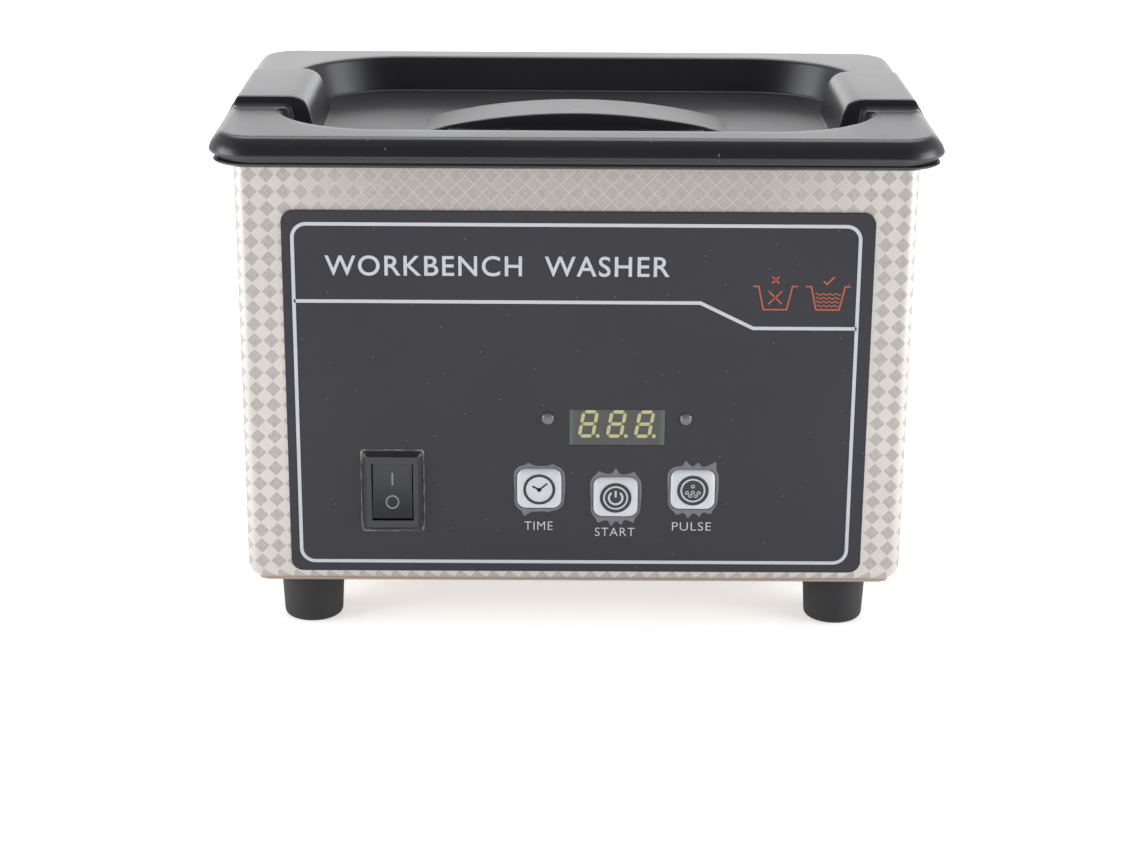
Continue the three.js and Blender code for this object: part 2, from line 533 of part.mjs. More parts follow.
/** Rocker switch: a bevelled frame snapped into the sheet, its terminals and the tilting key. */
function makeRocker() {
  const { width, height, stand, depth } = ROCKER;
  const switchGroup = new THREE.Group();
  switchGroup.position.set(ROCKER.x, 0, ROCKER.z);
  cleaner.add(switchGroup);
  const seat = -HOUSING.hy - REST_GAP;
  const bezel = new THREE.ExtrudeGeometry(roundedRectangle(0, 0, width - 2, height - 2, 0.2), {
    depth: 0.01, bevelEnabled: true, bevelThickness: stand - 0.6, bevelSize: 1, bevelSegments: 1, steps: 1,
    curveSegments: 2,
  });
  const turn = new THREE.Matrix4().makeBasis(X_AXIS, Z_AXIS, Y_AXIS.clone().negate());
  bezel.applyMatrix4(turn).translate(0, seat - 0.6, 0);
  const halfSpace = block([-20, 20], [seat - 0.6, 10], [-20, 20]);
  const rim = prismY(roundedRectangle(0, 0, width, height, 0.3), seat - 0.6, seat, 2);
  const body = prismY(roundedRectangle(0, 0, width - 2.2, height - 2.4, 0.4), seat - 0.3, seat + depth - 4, 2);
  const well = block([-KEY_WELL.width / 2, KEY_WELL.width / 2], [seat - stand - 1, seat + KEY_WELL.depth],
    [-KEY_WELL.height / 2, KEY_WELL.height / 2]);
  const frame = solid(bezel).subtract(solid(halfSpace)).add(solid(rim)).add(solid(body));
  addPiece("rocker_frame", frame.subtract(solid(well)), BLACK_PLASTIC, switchGroup);
  for (const [name, z] of [["line", 4.5], ["load", -4.5]]) {
    const blade = block([-2.4, 2.4], [seat + depth - 4 + REST_GAP, seat + depth + 5], [z - 0.4, z + 0.4]);
    addPiece(`rocker_terminal_${name}`, blade, BRASS, switchGroup);
  }

  const key = new THREE.Group();
  key.position.y = seat - stand + KEY.pivotDepth - 0.4;
  key.rotation.x = THREE.MathUtils.degToRad(-KEY.restTilt);
  switchGroup.add(key);
  const { halfHeight, pivotDepth, dish } = KEY;
  const face = Array.from({ length: 9 }, (_, i) => {
    const z = halfHeight * (1 - i / 4);
    return [-pivotDepth + dish * (1 - (z / halfHeight) ** 2), z];
  });
  const outlinePoints = [[-pivotDepth + 1, -halfHeight], [2.6, -5.6], [5.6, -2.2], [5.6, 2.2], [2.6, 5.6],
    [-pivotDepth + 1, halfHeight], ...face];
  addPiece("rocker_key", prismX(polygon(outlinePoints), -KEY.width / 2, KEY.width / 2), BLACK_PLASTIC, key);
}

// ---------------------------------------------------------------- ultrasonic drive

/** Bolted sandwich under the tank: horn, two ceramic rings with an electrode between, and a back mass. */
function makeTransducer() {
  const top = TANK_FLOOR - TANK_WALL - REST_GAP;
  const group = new THREE.Group();
  group.position.z = top;
  cleaner.add(group);
  const ring = (outer, inner, low, high, segments = 18) => turned(
    [[inner, low], [outer, low], [outer, high], [inner, high], [inner, low]], segments,
  );
  const horn = [[0, -8], [5.2, -8], [5.2, -22], [17.5, -22], [18.5, -12], [22.5, -4], [22.5, 0], [0, 0]];
  addPiece("transducer_horn", turned(horn, 18), ALUMINIUM, group);
  addPiece("piezo_ring_upper", ring(17.5, 6.5, -27.1, -22.1), CERAMIC, group);
  const tab = solid(block([16, 24], [-2.5, 2.5], [-27.6, -27.2]));
  addPiece("transducer_electrode", solid(ring(17.8, 6.5, -27.6, -27.2)).add(tab), COPPER, group);
  addPiece("piezo_ring_lower", ring(17.5, 6.5, -32.7, -27.7), CERAMIC, group);
  addPiece("transducer_back_mass", ring(17.5, 5.4, -46, -32.8), [0x77787b, 0.4, 1.0], group);
  const bolt = screwGeometry(7, 5, 4.6, 37, 6);
  addPiece("transducer_bolt", bolt, SCREW_STEEL, group).position.z = -46 - 5 - REST_GAP;
}

/** Drive board on four posts beside the transducer, with its power parts. */
function makeDriveBoard() {
  const { left, right, front, back, base, thickness } = DRIVE_BOARD;
  const board = roundedRectangle((left + right) / 2, (front + back) / 2, right - left, back - front, 1.5);
  const posts = [["a", left, front], ["b", right, front], ["c", left, back], ["d", right, back]].map(
    ([name, x, y]) => [name, x + (x === left ? STANDOFF_INSET : -STANDOFF_INSET),
      y + (y === front ? STANDOFF_INSET : -STANDOFF_INSET)],
  );
  for (const [name, x, y] of posts) {
    board.holes.push(roundedRectangle(x, y, 3.6, 3.6, 1.75));
    const low = HOUSING_BASE;
    const post = turned([
      [0, low], [2.6, low], [2.6, base - REST_GAP], [1.4, base - REST_GAP], [1.4, base + 3.2], [0, base + 3.2],
    ], 8);
    addPiece(`board_post_${name}`, post.translate(x, y, 0), BRASS);
  }
  addPiece("drive_board", prismZ(board, base, base + thickness, 1), BOARD_GREEN);

  const top = base + thickness + REST_GAP;
  const core = solid(block([36, 62], [8, 28], [top + 2, top + 24]))
    .subtract(solid(block([41, 57], [7, 29], [top + 8, top + 18])));
  addPiece("output_transformer", core.add(solid(block([42, 56], [4, 32], [top, top + 21]))), [0x3a3532, 0.6, 0.0]);
  const can = new THREE.CylinderGeometry(8, 8, 26, 20).rotateX(Math.PI / 2);
  addPiece("filter_capacitor", can.translate(38, -20, top + 13), [0x2b3a63, 0.4, 0.0]);
  const fins = polygon([
    [70, 0], [74, 0], [74, 5], [71.5, 5], [71.5, 8], [74, 8], [74, 13], [71.5, 13], [71.5, 16], [74, 16],
    [74, 21], [71.5, 21], [71.5, 24], [74, 24], [74, 30], [70, 30],
  ].map(([x, y]) => [x, y - 15]));
  addPiece("heatsink", prismZ(fins, top, top + 26, 1), [0x1d1d1f, 0.5, 0.8]);
  addPiece("power_transistor", block([65.3, 69.9], [-5, 5], [top, top + 19]), BLACK_PLASTIC);
  const choke = new THREE.TorusGeometry(7, 3.6, 6, 14).translate(57, -20, top + 3.7);
  addPiece("tank_choke", choke, COPPER);
  const fuse = new THREE.CylinderGeometry(2.6, 2.6, 20, 12).translate(70, 26.7, top + 2.7);
  addPiece("fuse", fuse, [0xd9d6cc, 0.2, 0.0]);
}

/** Mains inlet in the rear wall: a flanged socket, three blades and the two screws that hold it. */
function makeInlet() {
  const group = new THREE.Group();
  group.position.set(INLET.x, 0, INLET.z);
  cleaner.add(group);
  const seat = HOUSING.hy + REST_GAP;
  const flange = roundedRectangle(0, 0, INLET.flangeWidth, INLET.flangeHeight, 4);
  const plate = solid(prismY(flange, seat, seat + 2.4, 2));
  const body = solid(prismY(roundedRectangle(0, 0, INLET.width, INLET.height, 2), seat - INLET.depth, seat + 1, 1));
  const mouth = polygon([[-11.5, -8], [11.5, -8], [11.5, 3.5], [7, 8], [-7, 8], [-11.5, 3.5]]);
  let socket = plate.add(body).subtract(solid(prismY(mouth, seat - INLET.depth + 2.5, seat + 4, 1)));
  for (const side of [-1, 1]) {
    const hole = roundedRectangle(side * INLET_SCREW_PITCH / 2, 0, 3.6, 3.6, 1.75);
    socket = socket.subtract(solid(prismY(hole, seat - 1, seat + 4, 1)));
  }
  const pins = [["live", -7, -2.5], ["earth", 0, 2.5], ["neutral", 7, -2.5]];
  for (const [, x, z] of pins) {
    const slot = block([x - 1.3, x + 1.3], [seat - 20, seat - 10], [z - 2.3, z + 2.3]);
    socket = socket.subtract(solid(slot));
  }
  addPiece("power_inlet", socket, BLACK_PLASTIC, group);
  for (const [name, x, z] of pins) {
    const blade = block([x - 1, x + 1], [seat - 24, seat - 5], [z - 2, z + 2]);
    addPiece(`inlet_pin_${name}`, blade, BRASS, group);
  }
  for (const [name, side] of [["left", -1], ["right", 1]]) {
    const screw = screwGeometry(2.9, 1.9, 1.5, 8).rotateX(Math.PI / 2);
    const placed = screw.translate(side * INLET_SCREW_PITCH / 2, seat + 2.4 + REST_GAP + 1.9, 0);
    addPiece(`inlet_screw_${name}`, placed, SCREW_STEEL, group);
  }
}

/** Insulated leads held inside the housing, each a round tube along its route. */
function makeLeads() {
  const blade = HOUSING.hy - 25;
  const leads = [
    ["live_lead", 0x7a4426, [
      [INLET.x - 7, blade, 37.5], [INLET.x - 7, blade - 6, 37], [-55, 10, 27], [-58, -8, 26],
      [ROCKER.x - 2, -23, 42.5], [ROCKER.x, -29.8, 43.3],
    ]],
    ["neutral_lead", 0x2f5fa8, [
      [INLET.x + 7, blade, 37.5], [INLET.x + 7, blade - 6, 36.5], [-30, 20, 26], [-12, 30, 20],
      [10, 40, 22], [22, 40, 31], [31, 36, 31], [33, 34, 25.9],
    ]],
    ["earth_lead", 0x6f8f2a, [
      [INLET.x, blade, 42.5], [INLET.x, blade - 6, 44], [-60, 18, 40], [-70, 14, 24],
      [-71.5, 11, 17.4],
    ]],
    ["transducer_lead", 0xb23a30, [
      [25.4, 0, TANK_FLOOR - TANK_WALL - 27.5], [28.5, 0.5, 41], [31, 2, 36], [31.5, 3, 30], [31.5, 3, 26],
    ]],
  ];
  for (const [name, color, route] of leads) {
    const path = new THREE.CatmullRomCurve3(route.map((point) => new THREE.Vector3(...point)));
    const section = new THREE.Shape();
    section.absarc(0, 0, 1.1, 0, 2 * Math.PI);
    const tube = new THREE.ExtrudeGeometry(section, {
      steps: 3 * (route.length - 1), curveSegments: 4, bevelEnabled: false, extrudePath: path,
    });
    addPiece(name, tube, [color, 0.5, 0.0]);
  }
  const ribbon = band([[-43.8, 30], [-41.5, 30], [-38.5, 29], [-35.4, 25.2]], 0.9);
  addPiece("ribbon_cable", prismX(ribbon, 29, 41), [0x8c9097, 0.5, 0.0]);
  const lug = screwGeometry(3.4, 2, 1.7, 1).rotateX(Math.PI);
  addPiece("earth_screw", lug.translate(-72, 7, HOUSING_BASE + 3.2), SCREW_STEEL);
}

makeHousingShell();
makeBottomPlate();
makeFeet();
makeTopFrame();
makeTankGasket();
makeTank();
makePanel();
makeButtons();
makeControlBoard();
makeRocker();
makeTransducer();
makeDriveBoard();
makeInlet();
makeLeads();
const basketGroup = new THREE.Group();
cleaner.add(basketGroup);
makeBasket(basketGroup);
makeLid(basketGroup);

export default cleaner;
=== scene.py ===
import json
import math

import bmesh
import bpy
import numpy as np
from mathutils import Matrix, Vector


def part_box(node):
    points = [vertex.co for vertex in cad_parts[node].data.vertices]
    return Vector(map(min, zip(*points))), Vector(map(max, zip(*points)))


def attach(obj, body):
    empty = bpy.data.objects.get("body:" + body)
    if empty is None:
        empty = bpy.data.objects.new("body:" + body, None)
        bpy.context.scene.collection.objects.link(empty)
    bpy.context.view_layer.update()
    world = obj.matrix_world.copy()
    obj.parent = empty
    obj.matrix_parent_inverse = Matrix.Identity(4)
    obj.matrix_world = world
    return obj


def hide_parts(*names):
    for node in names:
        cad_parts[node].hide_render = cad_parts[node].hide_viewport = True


bl_info = {
    "name": "Ultrasonic cleaner",
    "version": (1, 0, 0),
    "blender": (4, 5, 0),
    "location": "View3D > Sidebar > Cleaner",
    "description": "Dresses the framed ultrasonic cleaner with finished surfaces and materials",
    "category": "Object",
}

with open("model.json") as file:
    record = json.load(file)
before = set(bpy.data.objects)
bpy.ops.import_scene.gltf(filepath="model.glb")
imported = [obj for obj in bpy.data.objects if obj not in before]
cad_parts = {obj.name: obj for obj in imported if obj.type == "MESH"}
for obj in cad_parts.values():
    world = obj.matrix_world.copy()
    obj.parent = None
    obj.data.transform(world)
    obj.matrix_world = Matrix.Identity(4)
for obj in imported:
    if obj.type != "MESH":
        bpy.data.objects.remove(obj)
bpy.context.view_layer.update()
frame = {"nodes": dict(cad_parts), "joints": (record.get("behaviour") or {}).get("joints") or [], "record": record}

MM = 0.001
CORNER_STEPS = 16  # facets in a quarter of a corner
BODY_CORNER = 3.0  # upright corners of the housing, in millimetres like the sizes below
LID_CORNER = 11.5
RECESS = (76.5, 49.4, 28.5)  # the tray's half length, half width and corner at the rim
INK = 0.03  # thickness of printed ink
KEYS = ("button_min", "button_power", "button_degas")


# ---------------------------------------------------------------- numbers and outlines

def span(node):
    """Lowest and highest corner of a framed node, in millimetres."""
    low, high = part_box(node)
    return np.array(low) / MM, np.array(high) / MM


def middle(node):
    """Middle of a framed node's box."""
    low, high = span(node)
    return (low + high) / 2


def face_middle(low, high):
    """Middle of a box seen from the front, as x and z."""
    return np.array([(low[0] + high[0]) / 2, (low[2] + high[2]) / 2])


def ring(hx, hy, r, steps=CORNER_STEPS):
    """Round a rounded rectangle: each corner's centre plus r times the unit vector of the angle."""
    angle = np.linspace(0, math.pi / 2, steps + 1)[None, :] + (math.pi / 2) * np.arange(4)[:, None]
    centre_x = (hx - r) * np.array([1, -1, -1, 1])[:, None]
    centre_y = (hy - r) * np.array([1, 1, -1, -1])[:, None]
    return np.stack([centre_x + r * np.cos(angle), centre_y + r * np.sin(angle)], -1).reshape(-1, 2)


def stack(hx, hy, r, section, steps=CORNER_STEPS):
    """Rings stacked along a section of (offset, height): the base outline grown by each offset."""
    section = np.asarray(section, float)
    rings = [ring(hx + offset, hy + offset, max(r + offset, 0.2), steps) for offset, _ in section]
    points = np.zeros((len(section), len(rings[0]), 3))
    points[..., :2] = np.stack(rings)
    points[..., 2] = section[:, 1][:, None]
    return points


def turned(profile, steps=40, centre=(0, 0)):
    """A profile of (radius, height) turned round a vertical axis through the centre."""
    profile = np.asarray(profile, float)
    angle = np.linspace(0, 2 * math.pi, steps, endpoint=False)
    radius = profile[:, 0][:, None]
    x = centre[0] + radius * np.cos(angle)
    y = centre[1] + radius * np.sin(angle)
    z = np.broadcast_to(profile[:, 1][:, None], x.shape)
    return np.stack([x, y, z], -1)


def softened(points, reach, steps=4, closed=False):
    """
    Rounds the corners of a line. Each corner point gives way to the quadratic curve that leaves the
    line `reach` before the corner and joins it again `reach` after.
    """
    points = np.asarray(points, float)
    reach = np.broadcast_to(np.asarray(reach, float), len(points))
    back = np.roll(points, 1, 0) - points
    ahead = np.roll(points, -1, 0) - points
    back_length = np.maximum(np.linalg.norm(back, axis=1), 1e-9)
    ahead_length = np.maximum(np.linalg.norm(ahead, axis=1), 1e-9)
    reach = np.minimum(reach, 0.48 * np.minimum(back_length, ahead_length))
    start = points + back * (reach / back_length)[:, None]
    end = points + ahead * (reach / ahead_length)[:, None]
    s = np.linspace(0, 1, steps + 1)[None, :, None]
    curve = (1 - s) ** 2 * start[:, None] + 2 * s * (1 - s) * points[:, None] + s ** 2 * end[:, None]
    if closed:
        return curve.reshape(-1, points.shape[1])
    inner = curve[1:-1].reshape(-1, points.shape[1])
    return np.concatenate([points[:1], inner, points[-1:]])


def rounded_outline(width, height, r, centre=(0, 0), steps=8):
    """A rounded rectangle by its full width and height."""
    return ring(width / 2, height / 2, r, steps) + np.asarray(centre, float)


def evenly(outline, count):
    """The same closed outline with its points an even distance apart."""
    closed = np.concatenate([outline, outline[:1]])
    run = np.concatenate([[0], np.cumsum(np.linalg.norm(np.diff(closed, axis=0), axis=1))])
    stops = np.linspace(0, run[-1], count, endpoint=False)
    return np.stack([np.interp(stops, run, closed[:, axis]) for axis in (0, 1)], -1)


def circle(radius, centre=(0, 0), steps=24):
    """Points round a circle: the centre plus the radius times the unit vector of even angles."""
    angle = np.linspace(0, 2 * math.pi, steps, endpoint=False)
    return np.stack([np.cos(angle), np.sin(angle)], -1) * radius + np.asarray(centre, float)


# ---------------------------------------------------------------- meshes

def grid_faces(rows, columns, wrap_rows=False, wrap_columns=False):
    """Quads between neighbouring points of a grid, as rows of four indices."""
    i = np.arange(rows if wrap_rows else rows - 1)[:, None]
    j = np.arange(columns if wrap_columns else columns - 1)[None, :]
    below, above = i * columns, ((i + 1) % rows) * columns
    left, right = j, (j + 1) % columns
    corners = [below + left, below + right, above + right, above + left]
    return np.stack(np.broadcast_arrays(*corners), -1)


def new_piece(name, points, faces, body, material, sharp=38.0, uv=None):
    """Makes a mesh object from points in millimetres, shades it, and sets it on its body."""
    mesh = bpy.data.meshes.new(name)
    mesh.from_pydata((np.asarray(points, float) * MM).tolist(), [], faces)
    if uv is not None:
        corner_vertex = np.zeros(len(mesh.loops), np.int32)
        mesh.loops.foreach_get("vertex_index", corner_vertex)
        layer = mesh.uv_layers.new(name="sheet")
        layer.data.foreach_set("uv", (uv[corner_vertex] * MM).ravel())
    mesh.materials.append(material)
    piece = bpy.data.objects.new(name, mesh)
    shade(piece, sharp)
    bpy.context.scene.collection.objects.link(piece)
    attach(piece, body)
    return piece


def shade(piece, sharp):
    """Smooth shading that breaks where two faces meet at more than an angle, in degrees."""
    piece.data.shade_smooth()
    piece.data.set_sharp_from_angle(angle=math.radians(sharp))


def stand_in(piece, node):
    """Hides the framed node that a piece stands for, and returns the piece."""
    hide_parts(node)
    return piece


def ring_faces(points, wrap_rows=False, capped=False):
    """Faces between a grid's closed rings, whose first and last ring may be capped flat."""
    rows, columns = points.shape[:2]
    faces = grid_faces(rows, columns, wrap_rows=wrap_rows, wrap_columns=True).reshape(-1, 4).tolist()
    if capped:
        faces.append(list(range(columns - 1, -1, -1)))
        faces.append(list(range((rows - 1) * columns, rows * columns)))
    return faces


def grid_piece(name, points, body, material, wrap_rows=False, capped=False, sharp=38.0):
    """A piece from a grid of closed rings, tidied."""
    faces = ring_faces(points, wrap_rows, capped)
    return tidy(new_piece(name, points.reshape(-1, 3), faces, body, material, sharp))


def joined(parts):
    """One list of points and one of faces from several (points, faces) pairs."""
    points, faces, start = [], [], 0
    for part_points, part_faces in parts:
        part_points = np.asarray(part_points, float).reshape(-1, 3)
        points.append(part_points)
        faces += [[start + index for index in face] for face in part_faces]
        start += len(part_points)
    return np.concatenate(points), faces


def flat_mesh(outlines, thickness, bevel=0.0):
    """
    Points and faces of a flat plate, centred on its own plane: closed outlines filled by the even-odd
    rule, given a thickness and, if asked, a small round on every edge that keeps the outline's size.
    """
    curve = bpy.data.curves.new("plate", "CURVE")
    curve.dimensions = "2D"
    curve.fill_mode = "BOTH"
    curve.extrude = thickness / 2 - bevel
    curve.bevel_depth = bevel
    curve.bevel_resolution = 1
    curve.offset = -bevel
    for outline in outlines:
        spline = curve.splines.new("POLY")
        spline.points.add(len(outline) - 1)
        flat = np.concatenate([outline, np.zeros((len(outline), 1)), np.ones((len(outline), 1))], 1)
        spline.points.foreach_set("co", flat.ravel())
        spline.use_cyclic_u = True
    return curve_mesh(curve)


def curve_mesh(curve):
    """The filled mesh of a curve or text, as points and faces; the curve is removed."""
    holder = bpy.data.objects.new(curve.name, curve)
    bpy.context.scene.collection.objects.link(holder)
    bpy.context.view_layer.update()
    mesh = bpy.data.meshes.new_from_object(holder.evaluated_get(bpy.context.evaluated_depsgraph_get()))
    points = np.zeros(len(mesh.vertices) * 3)
    mesh.vertices.foreach_get("co", points)
    faces = [list(polygon.vertices) for polygon in mesh.polygons]
    bpy.data.objects.remove(holder)
    bpy.data.meshes.remove(mesh)
    return points.reshape(-1, 3), faces


def facing_front(points, y):
    """Turns a flat mesh drawn in x and y to stand in x and z, its front towards -Y at the depth y."""
    return np.stack([points[:, 0], y - points[:, 2], points[:, 1]], -1)


def stroke(line, width, closed=False):
    """The outline of a line drawn with an even width and mitred bends."""
    line = np.asarray(line, float)
    ahead = np.roll(line, -1, 0) - line if closed else np.diff(line, axis=0, append=line[-1:])
    if not closed:
        ahead[-1] = ahead[-2]
    ahead /= np.linalg.norm(ahead, axis=1)[:, None]
    behind = np.roll(ahead, 1, 0)
    if not closed:
        behind[0] = ahead[0]
    along = ahead + behind
    along /= np.linalg.norm(along, axis=1)[:, None]
    normal = np.stack([-along[:, 1], along[:, 0]], -1)
    normal /= np.maximum((normal * np.stack([-ahead[:, 1], ahead[:, 0]], -1)).sum(1), 0.4)[:, None]
    left, right = line + normal * width / 2, line - normal * width / 2
    if closed:
        return [left, right]
    return [np.concatenate([left, right[::-1]])]


def text_mesh(words, height, thickness, spacing=1.0, weight=0.0):
    """Capitals of about a given height, their baseline's left end at the origin."""
    capital_share = 0.69  # height of a capital against the size of the font
    curve = bpy.data.curves.new("words", "FONT")
    curve.body = words
    curve.size = height / capital_share
    curve.extrude = thickness / 2
    curve.space_character = spacing
    curve.offset = weight
    curve.resolution_u = 6
    return curve_mesh(curve)


def tidy(piece, distance=1e-6):
    """Joins a piece's doubled points and makes its faces point outwards."""
    work = bmesh.new()
    work.from_mesh(piece.data)
    bmesh.ops.remove_doubles(work, verts=work.verts, dist=distance)
    bmesh.ops.recalc_face_normals(work, faces=work.faces)
    work.to_mesh(piece.data)
    work.free()
    return piece


def solidify(piece, thickness, offset=-1.0):
    """Gives a sheet its wall, inwards from its face."""
    wall = piece.modifiers.new("wall", "SOLIDIFY")
    wall.thickness = thickness * MM
    wall.offset = offset
    wall.use_even_offset = True
    return piece


def bevel(piece, width, segments=2, angle=35.0):
    """Rounds the edges where faces meet at more than an angle."""
    edge = piece.modifiers.new("edge", "BEVEL")
    edge.width = width * MM
    edge.segments = segments
    edge.limit_method = "ANGLE"
    edge.angle_limit = math.radians(angle)
    edge.harden_normals = True
    return piece


def finished_copy(node, body, material, width=0.25, segments=2):
    """A framed node's own solid, merged and given small round edges, standing for that node."""
    source = frame["nodes"][node].data
    points = np.zeros(len(source.vertices) * 3)
    source.vertices.foreach_get("co", points)
    faces = [list(polygon.vertices) for polygon in source.polygons]
    piece = new_piece(f"{node}_finish", points.reshape(-1, 3) / MM, faces, body, material, sharp=30)
    tidy(piece)
    shade(piece, 30)
    bevel(piece, width, segments, angle=30)
    return stand_in(piece, node)


# ---------------------------------------------------------------- materials

class Finish:
    """Builds one node material step by step; `shader` is its Principled surface."""

    def __init__(self, name, color, roughness=0.5, metallic=0.0, specular=0.5):
        self.material = bpy.data.materials.new(name)
        self.material.use_nodes = True
        self.tree = self.material.node_tree
        self.shader = self.tree.nodes["Principled BSDF"]
        self.color = (*color[:3], 1.0)
        self.shader.inputs["Base Color"].default_value = self.color
        self.shader.inputs["Roughness"].default_value = roughness
        self.shader.inputs["Metallic"].default_value = metallic
        self.shader.inputs["Specular IOR Level"].default_value = specular
        self.material.diffuse_color = self.color

    def node(self, kind, inputs=None, **settings):
        """Adds a node with its settings and the named inputs."""
        made = self.tree.nodes.new(kind)
        for key, value in settings.items():
            setattr(made, key, value)
        for key, value in (inputs or {}).items():
            self.feed(made.inputs[key], value)
        return made

    def feed(self, socket, value):
        """Links an output to a socket, or sets the socket's own value."""
        if isinstance(value, bpy.types.NodeSocket):
            self.tree.links.new(value, socket)
        else:
            socket.default_value = value

    def place(self, uv=False, scale=(1, 1, 1), rotation=(0, 0, 0), location=(0, 0, 0)):
        """Coordinates in metres, on the object or along the sheet, scaled and turned."""
        source = self.node("ShaderNodeTexCoord").outputs["UV" if uv else "Object"]
        mapping = self.node("ShaderNodeMapping", {
            "Vector": source, "Scale": scale, "Rotation": rotation, "Location": location,
        })
        return mapping.outputs["Vector"]

    def noise(self, vector, scale, detail=3.0, roughness=0.55):
        """Summed noise from 0 to 1; the scale counts its largest cells per metre."""
        made = self.node("ShaderNodeTexNoise", {
            "Vector": vector, "Scale": scale, "Detail": detail, "Roughness": roughness,
        })
        return made.outputs["Fac"]

    def math(self, operation, a, b=0.0, clamp=False):
        """One arithmetic step on numbers or outputs."""
        made = self.node("ShaderNodeMath", operation=operation, use_clamp=clamp)
        self.feed(made.inputs[0], a)
        self.feed(made.inputs[1], b)
        return made.outputs[0]

    def blend(self, factor, a, b):
        """A colour between a and b."""
        made = self.node("ShaderNodeMix", data_type="RGBA")
        self.feed(made.inputs[0], factor)
        self.feed(made.inputs[6], a if isinstance(a, bpy.types.NodeSocket) else (*a[:3], 1.0))
        self.feed(made.inputs[7], b if isinstance(b, bpy.types.NodeSocket) else (*b[:3], 1.0))
        return made.outputs[2]

    def spread(self, factor, low, high, start=0.0, end=1.0):
        """A number carried from the range start to end onto the range low to high."""
        made = self.node("ShaderNodeMapRange", {
            "Value": factor, "From Min": start, "From Max": end, "To Min": low, "To Max": high,
        })
        return made.outputs["Result"]

    def bump(self, height, strength, distance):
        """Tilts the shader's normal by the slope of a height, whose full range is the distance in metres."""
        made = self.node("ShaderNodeBump", {
            "Height": height, "Strength": strength, "Distance": distance,
        })
        self.feed(self.shader.inputs["Normal"], made.outputs["Normal"])
        return self

    def surface(self, color=None, roughness=None):
        """Feeds the shader's colour and gloss."""
        if color is not None:
            self.feed(self.shader.inputs["Base Color"], color)
        if roughness is not None:
            self.feed(self.shader.inputs["Roughness"], roughness)
        return self


def shaded(color, factor):
    """A colour made darker or paler by a factor."""
    return tuple(min(c * factor, 1.0) for c in color[:3])


def moulded(name, color, roughness, grain=0.35, specular=0.5, tone=0.12):
    """Moulded plastic: a fine eroded grain, slow changes of gloss, and a faint change of shade."""
    finish = Finish(name, color, roughness, specular=specular)
    place = finish.place()
    fine = finish.noise(place, 2600, 2.0)
    slow = finish.noise(place, 45, 3.0)
    deeper = shaded(color, 1 - tone)
    lighter = shaded(color, 1 + tone)
    shade = finish.blend(slow, deeper, lighter)
    gloss = finish.spread(finish.math("ADD", slow, finish.math("MULTIPLY", fine, 0.5)),
                          roughness - 0.05, roughness + 0.07, 0.3, 1.2)
    finish.surface(shade, gloss).bump(fine, grain, 0.00003)
    return finish.material


def spun_metal(name, color, roughness, stretch=(6, 6, 900), tone=0.1):
    """Metal with tool marks: noise drawn out along one direction changes its gloss and its shade."""
    finish = Finish(name, color, roughness, metallic=1.0)
    marks = finish.noise(finish.place(scale=stretch), 1.0, 4.0, 0.7)
    cloud = finish.noise(finish.place(), 60, 2.0)
    dark = shaded(color, 1 - tone)
    finish.surface(finish.blend(cloud, dark, color), finish.spread(marks, roughness - 0.07, roughness + 0.1))
    return finish.bump(marks, 0.12, 0.00002).material


def printed(name, color, roughness=0.5):
    """Screen ink: a slightly uneven, slightly speckled coat."""
    finish = Finish(name, color, roughness)
    speckle = finish.noise(finish.place(), 1800, 2.0)
    dim = shaded(color, 0.88)
    return finish.surface(finish.blend(speckle, dim, color)).bump(speckle, 0.1, 0.00001).material


